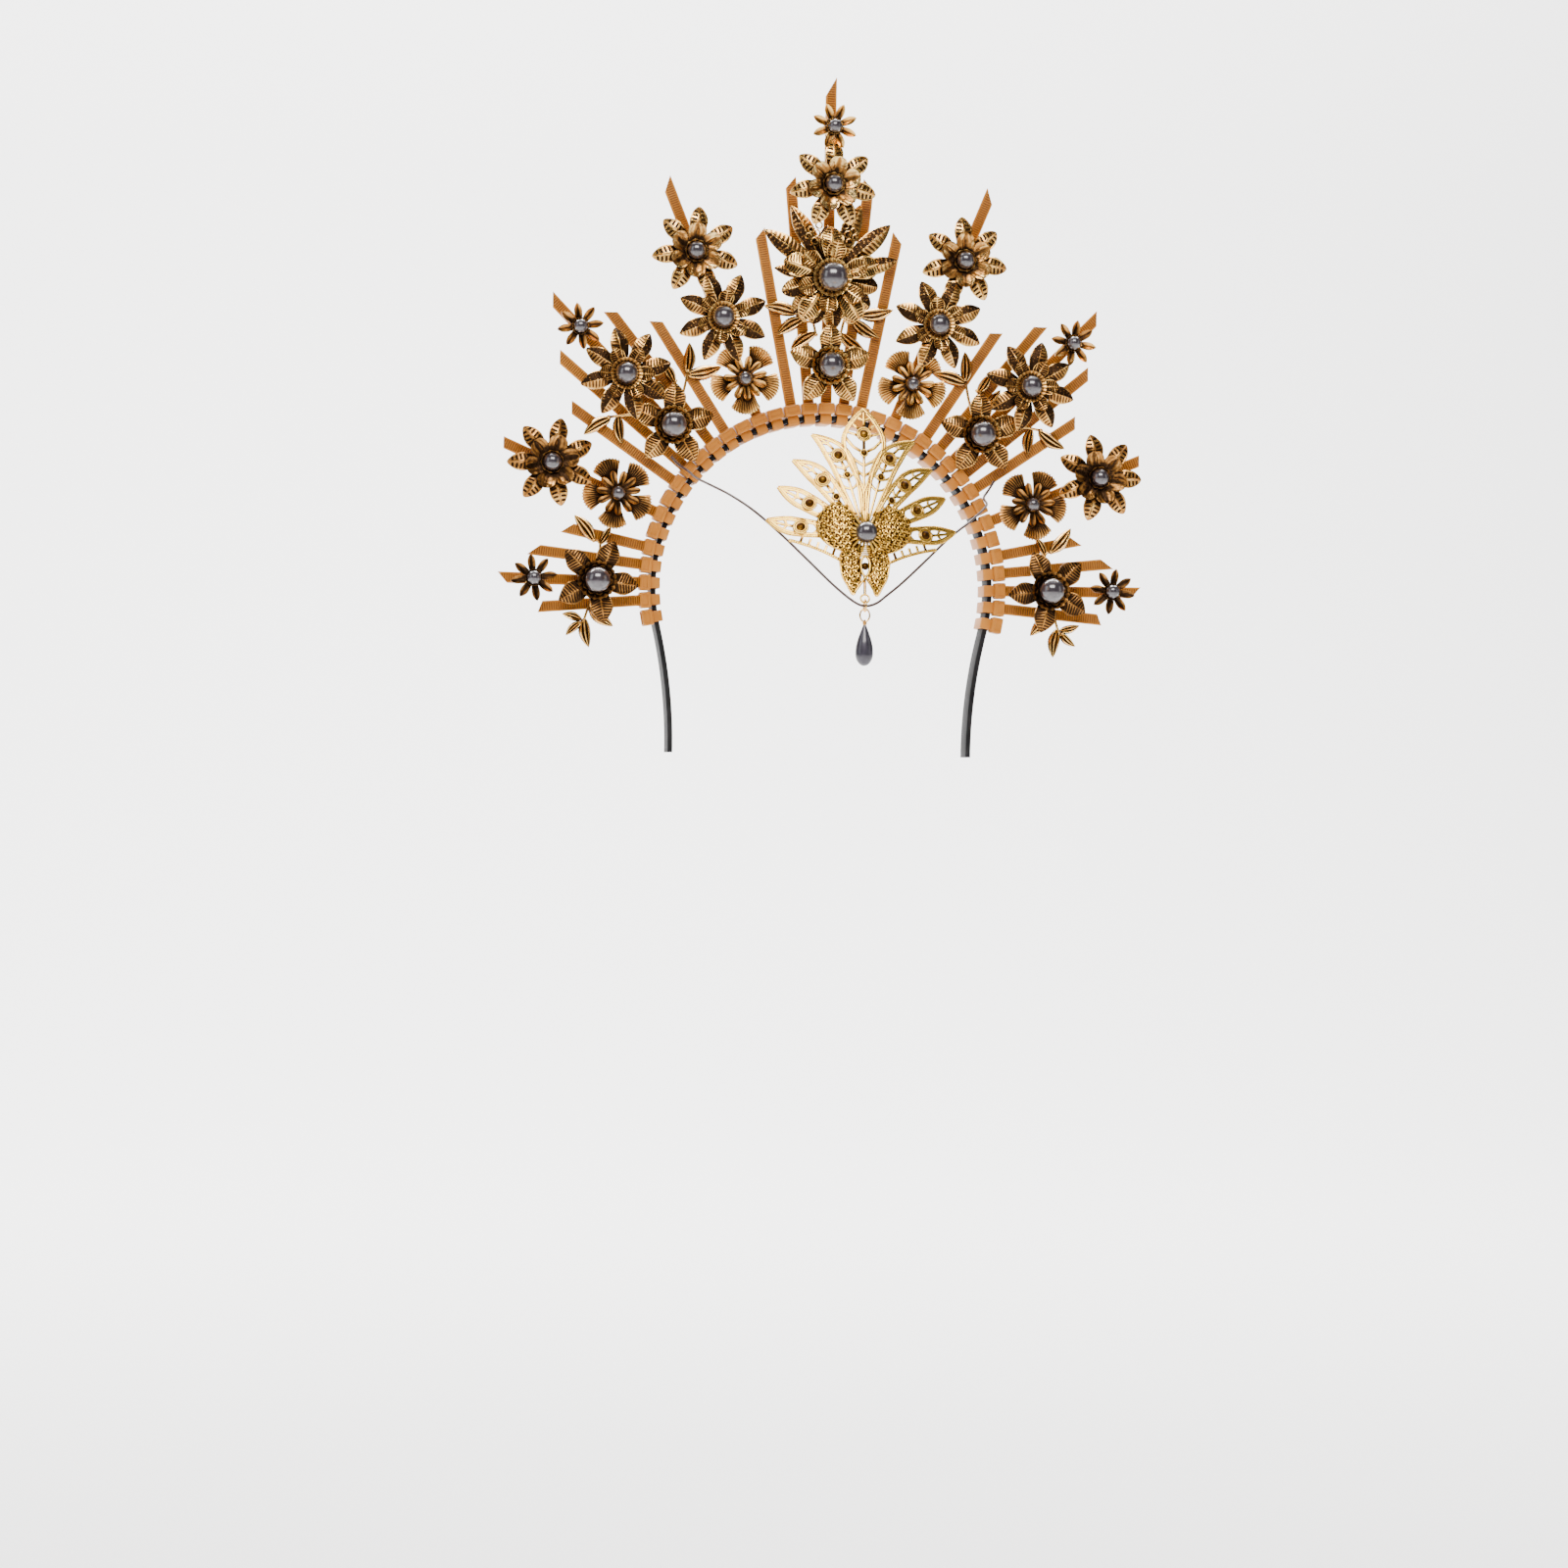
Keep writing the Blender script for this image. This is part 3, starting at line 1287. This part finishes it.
centre_layers += [
    whorl(
        pressed(
            mirrored(0.0, 0.08, 0.16, 0.24, 0.41, 0.58, 0.75, 0.84, 0.92, 1.0),
            even(64),
            sunk(
                petal(0.14 * CENTRE, 0.62 * CENTRE, 0.145 * CENTRE, root=0.4, fullest=0.58, blunt=0.60,
                      arch=0.05 * CENTRE, ridge=0.03 * CENTRE, slant=0.8, rim=0.22 * MM, midrib=0.22 * MM,
                      lift=2 * SHEET_STEP + SHEET_TOP, tone=-0.25),
                cells=64,
                first=6,
                last=60,
                pitch=5,
                depth=0.35 * MM,
            ),
        ),
        5,
    ),
    whorl(
        pressed(
            RIMMED_PETAL,
            even(40),
            petal(0.12 * CENTRE, 0.45 * CENTRE, 0.118 * CENTRE, root=0.5, fullest=0.55, blunt=0.55,
                  end_rise=0.09 * CENTRE, curl=0.02 * CENTRE, veins=9, slant=0.7, vein=0.13 * MM,
                  rim=0.26 * MM, midrib=0.1 * MM, lift=3 * SHEET_STEP + SHEET_TOP),
        ),
        6,
        8.0,
    ),
    pressed(
        even(80, -1),
        even(7),
        round_dish(0.235 * CENTRE, 1.6 * MM, ribs=22, relief=0.20 * MM, lift=3 * SHEET_STEP + SHEET_TOP,
                   petal_edge=0.03, tone=-0.4, core=0.2),
    ),
]
for side in (-1, 1):  # little rings of wire on either side of the top leaf
    for reach, turn_deg, size in WIRE_RINGS:
        turn = math.radians(turn_deg) * side
        ring = collar(size * MM, 0.32 * MM, 2 * SHEET_STEP + SHEET_TOP + 0.5 * MM)
        place = (reach * MM * math.sin(turn), reach * MM * math.cos(turn), 0.0)
        bmesh.ops.translate(ring, vec=place, verts=ring.verts)
        centre_layers.append(ring)
plant("centre", centre_layers, pearl_mm=5.4, seat=0.6, top_steps=3, rows=[(0, 113.0, 0.0, 0.0)])


# The pearls: 24 round glass pearls in a grey-mauve lacquer, each glued in the middle of its flower.
PEARL_COLOUR = (0.048, 0.035, 0.045)
PEARL_EDGE = (0.007, 0.005, 0.008)


def pearl_material(name, middle, edge, coat):
    """Pearl lacquer: darker towards the edge, with faint clouds under a clear glossy coat."""
    made, tree, shader = new_material(name)
    place = add_node(tree, "TexCoord")
    clouds = add_node(tree, "TexNoise", {"Scale": 420.0, "Detail": 2.0})
    soft = add_node(tree, "MapRange", {"From Min": 0.3, "From Max": 0.7, "To Max": 0.45})
    facing = add_node(tree, "LayerWeight", {"Blend": 0.35})
    both = add_node(tree, "Math", {1: 0.8}, operation="MULTIPLY_ADD", use_clamp=True)
    tint = add_node(tree, "Mix", {"A": (*middle, 1.0), "B": (*edge, 1.0)}, data_type="RGBA")
    link(place, "Object", clouds, "Vector")
    link(clouds, "Fac", soft, "Value")
    link(facing, "Facing", both, 0)
    link(soft, "Result", both, 2)
    link(both, "Value", tint, "Factor")
    link(tint, "Result", shader, "Base Color")
    set_inputs(shader, {"Metallic": 0.35, "Roughness": 0.42})
    set_inputs(shader, {"Coat Weight": coat, "Coat IOR": 1.85, "Coat Roughness": 0.12})
    return made


grey_pearl = pearl_material("grey_mauve_pearl", PEARL_COLOUR, PEARL_EDGE, coat=1.0)
strewn = gather([ball(spot, radius) for spot, radius, name in pearl_seats])
pearls = finished("flower_pearls", strewn, [grey_pearl], sharp=80.0)
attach(pearls, "root")
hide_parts(*[name for spot, radius, name in pearl_seats])


# The sprigs: cast sprays of narrow leaves with three lengthwise ridges, on thin stems with ball ends. They
# are gilt like the flowers, and each is glued flat on the ties under the flower that holds it.
SPRIG_REACH = 30.0 * MM
SPRIG_FORWARD = 7.1 * MM
SPRIG_WIRE = 0.5 * MM
SPRIG_SLIM = 0.20
SPRIG_NOTCHES = 12
SPRIGS = {  # by flower: its stems, then its leaves from root to tip, across and above in shares of the reach
    (0, "centre", 113.0): (
        [[(0.0, -0.03), (-0.23, -0.52), (-0.40, -0.42)], [(-0.20, -0.47), (-0.15, -0.68)]],
        [
            ((-0.38, -0.43), (-0.80, -0.35)),
            ((-0.30, -0.48), (-0.63, -0.70)),
            ((-0.15, -0.65), (-0.46, -0.87)),
        ],
    ),
    (8, "cup", 81.3): (
        [
            [(0.0, 0.0), (0.12, 0.34), (0.19, 0.67)],
            [(0.0, 0.0), (-0.06, 0.34), (0.04, 0.54)],
            [(0.0, 0.0), (-0.44, 0.11), (-0.77, 0.08)],
        ],
        [
            ((0.185, 0.64), (0.20, 1.01)),
            ((0.18, 0.62), (0.60, 0.73)),
            ((0.03, 0.51), (-0.13, 0.77)),
            ((-0.06, 0.34), (-0.25, 0.56)),
            ((-0.74, 0.07), (-1.07, -0.14)),
            ((-0.65, 0.11), (-0.60, -0.24)),
        ],
    ),
    (16, "cup", 84.0): (
        [[(0.0, 0.0), (0.05, 0.43), (-0.03, 0.48)], [(0.0, 0.0), (-0.13, -0.47), (-0.19, -0.52)]],
        [
            ((-0.02, 0.47), (-0.27, 0.78)),
            ((0.04, 0.43), (0.17, 0.66)),
            ((-0.15, -0.48), (-0.40, -0.41)),
            ((-0.16, -0.50), (-0.35, -0.67)),
            ((-0.13, -0.45), (-0.07, -0.81)),
            ((-0.08, -0.30), (0.22, -0.55)),
        ],
    ),
}


def sprig_leaf(root, tip):
    """A leaf pressed from root to tip: three rounded ridges that run together at both ends."""
    length = (tip - root).length

    def shape(a, t):
        swell = math.sin(math.pi * t**0.85) ** 0.8
        ridges = math.cos(math.pi * 3 * a)
        notched = 1.0 + 0.05 * math.cos(SPRIG_NOTCHES * math.tau * t) if a > RIM_REACH else 1.0
        x = a * SPRIG_SLIM * length * swell * notched + 0.05 * length * math.sin(math.pi * t)
        z = 0.80 * MM * (1 - a * a) * swell + 0.36 * MM * ridges * swell + 0.5 * MM * t * t
        return x, length * t, z, 1.1 * (0.5 - 0.5 * ridges) ** 1.6 - 0.1

    bm = pressed(even(24, -1), even(24), shape, thickness=0.6 * MM)
    along = (tip - root).normalized()
    forward = Vector((0.0, 0.0, 1.0))
    turn = Matrix((along.cross(forward), along, forward)).transposed().to_4x4()
    bmesh.ops.transform(bm, matrix=Matrix.Translation(root) @ turn, verts=bm.verts)
    return bm


def sprig(stems, leaves, middle, side):
    """A spray round its flower's middle: stems with a ball at their ends, and leaves."""

    def at(share):
        across, above = share
        return middle + Vector((-side * across * SPRIG_REACH, above * SPRIG_REACH, SPRIG_FORWARD))

    parts = []
    for stem in stems:
        run = smooth_route([at(share) for share in stem], 12)
        parts.append(wire(run, SPRIG_WIRE))
        parts.append(ball(run[-1], 1.5 * SPRIG_WIRE, 10, 7))
    for root, tip in leaves:
        parts.append(sprig_leaf(at(root), at(tip)))
    return gather(parts)


upright = fan_matrix(0)
for (place, kind, middle), (stems, leaves) in SPRIGS.items():
    for side in (-1, 1):
        spot = upright.inverted() @ fan_matrix(place, side) @ Vector((0.0, middle * MM, 0.0))
        spray = sprig(stems, leaves, spot, side)
        bmesh.ops.transform(spray, matrix=upright, verts=spray.verts)
        if place:
            name = side_name(place, side)
        else:
            name = "middle_left" if side < 0 else "middle_right"
        piece = finished("gilt_sprigs_" + name, spray, gilt, sharp=50.0)
        rubbed_back(piece.data)
        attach(piece, "root")
        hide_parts(kind + "_flower_" + side_name(place, side))


# The forehead ornament: a filigree fan of nine pierced leaves in pale bright gold, cut from sheet, with
# milled wire rims, a toned dome in a ring on each leaf, and wings covered with wire curls and grains beside
# its pearl. Under the pearl hangs a body of two such lobes, and from the notch between them an eye.
ORNAMENT = 45.5 * MM  # from the pearl to the tip of a leaf of length 1
ORNAMENT_PEARL = 3.8 * MM
ORNAMENT_BEND = 95.0 * MM
PLATE = 0.55 * MM  # the thickness of the sheet
WING_RISE = 1.3 * MM
LOBE_RISE = 1.0 * MM
GRAIN_SIZE = 0.50 * MM
SCROLL_SIZE = 0.95 * MM
SCROLL_WIRE = 0.30 * MM
EYE_DROP = 0.514 * ORNAMENT
EYE_RADIUS = 1.5 * MM
EYE_WIRE = 0.35 * MM
BAR = 0.54 * MM  # half widths of the bars
FINE_BAR = 0.46 * MM
PATCH_RIM = 0.44 * MM
RING_SIZE = 2.35 * MM
SMALL_RING = 1.2 * MM
MILLING = 0.62 * MM  # from bead to bead
BLADES = [  # angle from the top, length in ornaments, half width in lengths, bow, ring's and foot's places
    (0.0, 1.07, 0.156, 0.0, 0.80, 0.32),
    (25.5, 0.93, 0.098, -11.5, 0.75, 0.04),
    (41.0, 0.83, 0.087, -7.0, 0.675, 0.04),
    (58.0, 0.77, 0.087, 0.0, 0.645, 0.04),
    (79.0, 0.75, 0.090, 3.7, 0.655, 0.04),
]
BLADE_WIDEST = 0.74
ORNAMENT_PLACE = (
    Matrix.Translation(FAN_CENTRE + Vector((0.0, -84.0 * MM, 15.0 * MM)))
    @ Matrix.Rotation(math.radians(70.0), 4, "X")
    @ Matrix.Rotation(math.radians(-2.5), 4, "Z")
)


def set_recess(bm, value):
    """Lays a whole shape as deep in a recess as the value says."""
    layer = bm.verts.layers.float["recess"]
    for vert in bm.verts:
        vert[layer] = value
    return bm


def on_blade(blade, side, reach, across, level=0.0, inset=0.0):
    """A point of a leaf from its shares of the length and of the half width there."""
    angle, length, half, bow, _, foot = blade
    if reach < BLADE_WIDEST:
        share = min(1.0, max(0.0, (reach - foot) / (BLADE_WIDEST - foot)))
        swell = 0.10 + 0.90 * math.sin(math.pi / 2 * share) ** (1.0 if angle else 1.7)
    else:
        swell = max(0.0, 1 - ((reach - BLADE_WIDEST) / (1 - BLADE_WIDEST)) ** 1.8)
    turn = math.radians(angle + bow * math.tanh((1 - reach) / 0.25)) * side
    outward = Vector((math.sin(turn), math.cos(turn), 0.0)) * reach * length * ORNAMENT
    width = max(0.0, abs(across) * half * swell * length * ORNAMENT - inset)
    sideways = Vector((math.cos(turn), -math.sin(turn), 0.0)) * side * math.copysign(width, across)
    return outward + sideways + Vector((0.0, 0.0, level))


def flat_bar(points, half):
    """A bar as cut from the sheet, flat on top, with softened edges."""
    section = rounded_section(PLATE, 2 * half, 0.13 * MM, 2)
    return drawn_strip(points, section, Vector((0.0, 0.0, 1.0)))


def blade_bar(blade, side, stops, half):
    """A bar in a leaf through its stops, each a share of the length and of the half width."""
    run = []
    for (reach, across), (after, beyond) in zip(stops, stops[1:]):
        steps = max(1, round(abs(after - reach) / 0.05))
        for i in range(steps):
            run.append((reach + (after - reach) * i / steps, across + (beyond - across) * i / steps))
    run.append(stops[-1])
    return flat_bar([on_blade(blade, side, reach, across) for reach, across in run], half)


def dome(middle, radius, rise):
    """A small toned dome, closed underneath."""
    bm = ball(middle, radius, 14, 10)
    for vert in bm.verts:
        vert.co.z = middle.z + (vert.co.z - middle.z) * rise / radius
    return set_recess(bm, 1.0)


def ring_at(middle, radius, thickness, beads=0):
    """A ring of wire, with beads soldered round it."""
    made = [wire(level_circle(middle, radius, 24), thickness, closed=True)]
    for turn in full_turns(beads):
        out = Vector((math.cos(turn), math.sin(turn), 0.0)) * (radius + 0.8 * thickness)
        made.append(ball(middle + out, 0.55 * thickness, 6, 4))
    return made


def milgrain(points, radius, pitch):
    """A row of beads rolled along a rim."""
    count = max(2, round(run_length(points) / pitch))
    return [ball(spot, radius, 6, 4) for spot in smooth_route(points, count)]


def leaf_rims(blade, side):
    """A leaf's double rims, with a milled edge."""
    parts = []
    for edge in (-1.0, 1.0):
        stations = [*even(16, 0.10, 0.72), *even(14, 0.76, 1.0)]
        parts.append(flat_bar([on_blade(blade, side, reach, edge) for reach in stations], BAR))
        inner = [on_blade(blade, side, reach, edge, 0.05 * MM, 0.78 * MM) for reach in even(24, 0.20, 0.965)]
        parts.append(flat_bar(inner, FINE_BAR))
        outer = [on_blade(blade, side, reach, edge, 0.22 * MM, -0.15 * MM) for reach in even(18, 0.40, 0.99)]
        parts += milgrain(outer, 0.27 * MM, MILLING)
    return parts


def leaf_fork(blade, side, start, end, foot, half):
    """A pair of bars that fork from a leaf's middle line, or beside it, to its rims."""
    parts = []
    for edge in (-1.0, 1.0):
        stops = [(start, foot * edge), (start + 0.35 * (end - start), 0.5 * edge), (end, 0.95 * edge)]
        parts.append(blade_bar(blade, side, stops, half))
    return parts


def filigree_leaf(blade, side):
    """A leaf: its rims, its midrib, its rings and domes, and the forked bars between its openings."""
    angle, length, _, _, ring, _ = blade
    length *= ORNAMENT
    parts = leaf_rims(blade, side)
    spot = on_blade(blade, side, ring, 0.0, 0.2 * MM)
    parts += ring_at(spot, RING_SIZE, 0.42 * MM, 16)
    parts += ring_at(spot, RING_SIZE - 0.65 * MM, 0.40 * MM)
    parts.append(dome(spot, RING_SIZE - 0.75 * MM, 1.2 * MM))
    out = ring + RING_SIZE / length
    into = ring - RING_SIZE / length
    low = ring - (8.0 if angle else 7.2) * MM / length
    small = SMALL_RING / length
    if angle < 50.0:
        spot = on_blade(blade, side, low, 0.0, 0.15 * MM)
        parts += ring_at(spot, SMALL_RING, 0.36 * MM)
        parts.append(dome(spot, SMALL_RING - 0.25 * MM, 0.8 * MM))
        parts.append(blade_bar(blade, side, [(0.14, 0.0), (low - small, 0.0)], FINE_BAR))
        parts.append(blade_bar(blade, side, [(low + small, 0.0), (into, 0.0)], BAR))
    parts.append(blade_bar(blade, side, [(out, 0.0), (0.97, 0.0)], FINE_BAR))
    if angle:
        forks = [(low + 0.06, low + 0.13, 0.0), (low - 0.03, low + 0.04, 0.0), (low - 0.13, low - 0.07, 0.0)]
        forks += [(ring - 0.055, ring - 0.03, 0.3), (ring + 0.03, ring + 0.05, 0.35)]
        forks += [(out + 0.07, out + 0.13, 0.0)]
    else:
        forks = [(low, low + 0.13, 0.0), (low - 0.10, low + 0.01, 0.0), (low - 0.18, low - 0.10, 0.0)]
        forks += [(ring - 0.01, ring + 0.015, 0.34), (ring + 0.04, ring + 0.09, 0.30), (0.91, 0.95, 0.0)]
    for start, end, foot in forks:
        if start >= 0.2:
            parts += leaf_fork(blade, side, start, end, foot, FINE_BAR if foot or angle else BAR)
    return parts


def closed_run(corners, steps):
    """A smooth closed line through the corners."""
    ring = [Vector((*corner, 0.0)) for corner in corners]
    return spline([*ring[-1:], *ring, *ring[:2]], steps)


def inside(point, outline):
    """Whether a point lies inside a closed outline."""
    within = False
    for a, b in zip(outline, outline[1:] + outline[:1]):
        if (a.y > point.y) != (b.y > point.y):
            if point.x < (b.x - a.x) * (point.y - a.y) / (b.y - a.y) + a.x:
                within = not within
    return within


def scroll(middle, radius, thickness, turn):
    """A curl of wire that winds inward."""
    run = []
    for t in even(10):
        reach = radius * (1 - 0.5 * t)
        run.append(middle + Vector((math.cos(turn + 5.4 * t), math.sin(turn + 5.4 * t), 0.0)) * reach)
    return wire(run, thickness, sides=6)


def granulated_patch(corners, rise):
    """A domed toned sheet with a milled rim, covered with wire curls and grains in staggered rows."""
    outline = closed_run(corners, 8)
    middle = sum(outline, Vector()) / len(outline)
    back = PLATE - 0.3 * MM

    def shape(a, t):
        edge = outline[round((a + 1) / 2 * len(outline)) % len(outline)]
        spot = middle.lerp(edge, t)
        return spot.x, spot.y, back + rise * (1 - t**2.5), 1.0

    sheet = pressed(even(len(outline), -1), even(6), shape, thickness=0.6 * MM)
    surface = BVHTree.FromBMesh(sheet)
    rim = [p + Vector((0.0, 0.0, 0.15 * MM)) for p in outline]
    parts = [sheet, wire(rim, PATCH_RIM, sides=6, closed=True)]
    parts += milgrain([*rim, rim[0]], 0.42 * MM, 0.95 * MM)
    low_x = min(p.x for p in outline)
    low_y = min(p.y for p in outline)
    pitch = 1.98 * SCROLL_SIZE
    for row in range(30):
        for column in range(60):
            curl = column % 2 == 0
            step = 0.5 * (column + row % 2)
            wobble = 0.12 * SCROLL_SIZE * math.sin(12.9 * row + 78.2 * column)
            x = low_x + step * pitch + wobble
            y = low_y + (row + (0.0 if curl else 0.5)) * pitch * 0.87 - wobble
            hit = surface.ray_cast(Vector((x, y, 20 * MM)), Vector((0.0, 0.0, -1.0)))[0]
            if hit is None or not inside(hit, outline):
                continue
            spot = hit + Vector((0.0, 0.0, 0.15 * MM))
            if curl:
                turn = 8.3 * math.sin(3.1 * row + 5.7 * column)
                parts.append(scroll(spot, SCROLL_SIZE * (0.86 + 0.1 * math.sin(turn)), SCROLL_WIRE, turn))
            else:
                size = GRAIN_SIZE * (1.0 + 0.2 * math.sin(4.1 * row + 9.7 * column))
                parts.append(ball(spot, size, 8, 5))
    return parts


WING = [  # the right wing's outline, and the others below, as shares of the ornament
    (0.05, 0.12), (0.12, 0.20), (0.20, 0.26), (0.30, 0.22), (0.355, 0.12), (0.35, 0.01),
    (0.28, -0.075), (0.19, -0.12), (0.10, -0.13), (0.045, -0.02),
]
LOBE = [
    (0.025, -0.085), (0.10, -0.085), (0.16, -0.12), (0.19, -0.18), (0.185, -0.26), (0.17, -0.34),
    (0.135, -0.41), (0.092, -0.485), (0.06, -0.42), (0.034, -0.33), (0.045, -0.2),
]
LOWER_EDGE = [(0.57, -0.038), (0.49, -0.065), (0.40, -0.10), (0.30, -0.145), (0.19, -0.205)]
SPINE_OPENING = [
    (0.0, -0.175), (0.026, -0.20), (0.036, -0.25), (0.026, -0.31), (0.0, -0.345), (-0.026, -0.31),
    (-0.036, -0.25), (-0.026, -0.20),
]
flat_parts = []
for blade in BLADES:
    for side in sides_of(blade[0]):
        flat_parts += filigree_leaf(blade, side)
for outline, rise in ((WING, WING_RISE), (LOBE, LOBE_RISE)):
    for side in (-1.0, 1.0):
        flat_parts += granulated_patch([(side * x * ORNAMENT, y * ORNAMENT) for x, y in outline], rise)
for side in (-1.0, 1.0):  # the lowest leaf's lower edge runs on to the body
    edge = [Vector((side * x * ORNAMENT, y * ORNAMENT, 0.0)) for x, y in LOWER_EDGE]
    flat_parts.append(flat_bar(smooth_route(edge, 20), BAR))
    flat_parts += milgrain([p + Vector((0.0, 0.0, 0.2 * MM)) for p in edge], 0.36 * MM, 0.80 * MM)
    for number in range(5):
        foot = edge[1].lerp(edge[4], number / 5)
        head = foot + Vector((-side * 0.02, 0.06, 0.0)) * ORNAMENT
        flat_parts.append(flat_bar([foot, head], FINE_BAR))
for number in range(20):  # the rays of the pearl's collar, longest at the top
    turn = math.tau * (number + 0.5) / 20
    reach = 6.2 + 2.2 * max(0.0, math.cos(turn)) ** 2
    ray = [(2.6, 1.5), (0.6 * reach, 1.5), (reach, 0.5)]
    run = [Vector((math.sin(turn) * r * MM, math.cos(turn) * r * MM, PLATE + z * MM)) for r, z in ray]
    flat_parts.append(wire(run, 0.45 * MM, sides=6))
collar_middle = Vector((0.0, 0.0, PLATE + WING_RISE + 0.1 * MM))
flat_parts += ring_at(collar_middle, 0.80 * ORNAMENT_PEARL, 0.5 * MM)

opening = closed_run([(x * ORNAMENT, y * ORNAMENT) for x, y in SPINE_OPENING], 5)
opening = [p + Vector((0.0, 0.0, PLATE + 0.7 * MM)) for p in opening]
flat_parts.append(wire(opening, 0.5 * MM, closed=True))
for number in range(6):  # the ribbed spine above the opening
    y = (-0.095 - 0.016 * number) * ORNAMENT
    rib = [Vector((x * MM, y, PLATE + z * MM)) for x, z in ((-1.6, 0.8), (0.0, 1.5), (1.6, 0.8))]
    flat_parts.append(wire(rib, 0.30 * MM, sides=6))
flat_parts.append(dome(Vector((0.0, -0.255 * ORNAMENT, PLATE + 0.4 * MM)), 1.35 * MM, 0.9 * MM))
for side in (-1, 1):
    stops = ((0.0, -0.35, 0.8), (0.035, -0.40, 0.6), (0.080, -0.470, 0.2))
    leg = [Vector((side * x * ORNAMENT, y * ORNAMENT, PLATE + z * MM)) for x, y, z in stops]
    flat_parts.append(wire(leg, 0.45 * MM))
shank = [Vector((0.0, y, -0.1 * MM)) for y in (-0.33 * ORNAMENT, -0.40 * ORNAMENT, EYE_RADIUS - EYE_DROP)]
flat_parts.append(wire(shank, 0.5 * MM))
flat_parts += ring_at(Vector((0.0, -EYE_DROP, 0.0)), EYE_RADIUS, EYE_WIRE)

bright_gold = ((0.90, 0.545, 0.095), (0.62, 0.30, 0.034), (0.060, 0.024, 0.005))
bright_filigree = gilt_material(
    "bright_filigree", bright_gold, 0.26, "hammered", scale=1500.0, depth=0.05 * MM
)
fan = gather(flat_parts)
for vert in fan.verts:  # bent round the forehead
    vert.co.z -= vert.co.x**2 / (2 * ORNAMENT_BEND)
bmesh.ops.transform(fan, matrix=ORNAMENT_PLACE, verts=fan.verts)
ornament = finished("filigree_ornament", fan, [bright_filigree], sharp=55.0)
rubbed_back(ornament.data)
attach(ornament, "root")
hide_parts("forehead_ornament")

brow_middle = Vector((0.0, 0.0, PLATE + WING_RISE + 0.5 * ORNAMENT_PEARL))
brow_pearl = ball(brow_middle, ORNAMENT_PEARL, 40, 24)
bmesh.ops.transform(brow_pearl, matrix=ORNAMENT_PLACE, verts=brow_pearl.verts)
brow = finished("ornament_pearl", brow_pearl, [grey_pearl], sharp=80.0)
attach(brow, "root")
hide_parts("forehead_ornament")


# The jump ring: a small ring of gilt wire in the ornament's eye. The cord runs through it, and it swings.
RING_WIRE = 0.35 * MM
RING_RADIUS = 2.05 * MM
ring_low, ring_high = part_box("jump_ring")
ring_middle = (ring_low + ring_high) / 2
gilt_wire = gilt_material("gilt_wire", light_gold, 0.22, "hammered", scale=1500.0, depth=0.04 * MM)
ring_run = [
    ring_middle + Vector((0.0, RING_RADIUS * math.cos(t), RING_RADIUS * math.sin(t))) for t in full_turns(32)
]
jump_ring = finished("gilt_jump_ring", wire(ring_run, RING_WIRE, sides=10, closed=True), [gilt_wire])
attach(jump_ring, "jump_ring")
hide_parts("jump_ring")


# The pearl drop: a tear-shaped pearl in grey lacquer, drilled and pinned to a loop of gilt wire that hangs
# in the jump ring and swings there.
DROP_LENGTH = 15.6 * MM
DROP_RADIUS = 3.1 * MM
DROP_FULLEST = 0.72
DROP_COLOUR = (0.050, 0.044, 0.062)
DROP_EDGE = (0.015, 0.013, 0.020)
PIN_WIRE = 0.32 * MM
CAP_RADIUS = 0.75 * MM
LOOP_WIRE = 0.3 * MM
LOOP_HALF_WIDTH = 1.7 * MM
LOOP_HALF_HEIGHT = 2.2 * MM
drop_low, drop_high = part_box("pearl_drop")
drop_axis = (drop_low + drop_high) / 2
loop_middle = Vector((drop_axis.x, drop_axis.y, drop_high.z - LOOP_WIRE - LOOP_HALF_HEIGHT))
tear_top = loop_middle.z - LOOP_HALF_HEIGHT + LOOP_WIRE
loop_run = [
    loop_middle + Vector((LOOP_HALF_WIDTH * math.cos(t), 0.0, LOOP_HALF_HEIGHT * math.sin(t)))
    for t in full_turns(32)
]
pin = [Vector((drop_axis.x, drop_axis.y, tear_top + z * MM)) for z in (0.4, -0.6, -1.4)]
cap = ball(Vector((drop_axis.x, drop_axis.y, tear_top - 0.9 * MM)), CAP_RADIUS, 14, 10)
hanger_parts = [
    wire(loop_run, LOOP_WIRE, sides=10, closed=True),
    wire(pin, PIN_WIRE, sides=10),
    set_recess(cap, 0.2),
]
hanger = finished("drop_loop", gather(hanger_parts), [gilt_wire])
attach(hanger, "pearl_drop")
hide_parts("pearl_drop")

tear_rings = []
for t in even(32, 0.012, 0.985):
    step = math.sin(math.pi / 2 * t)
    if step < DROP_FULLEST:
        swell = math.sin(math.pi / 2 * step / DROP_FULLEST) ** 1.15
    else:
        swell = math.sqrt(1 - ((step - DROP_FULLEST) / (1 - DROP_FULLEST)) ** 2)
    middle = Vector((drop_axis.x, drop_axis.y, tear_top - DROP_LENGTH * step))
    tear_rings.append(level_circle(middle, DROP_RADIUS * swell, 36))
drop_pearl = pearl_material("satin_grey_drop", DROP_COLOUR, DROP_EDGE, coat=0.4)
tear = finished("tear_pearl", skin(tear_rings), [drop_pearl], sharp=80.0)
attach(tear, "pearl_drop")
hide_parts("pearl_drop")
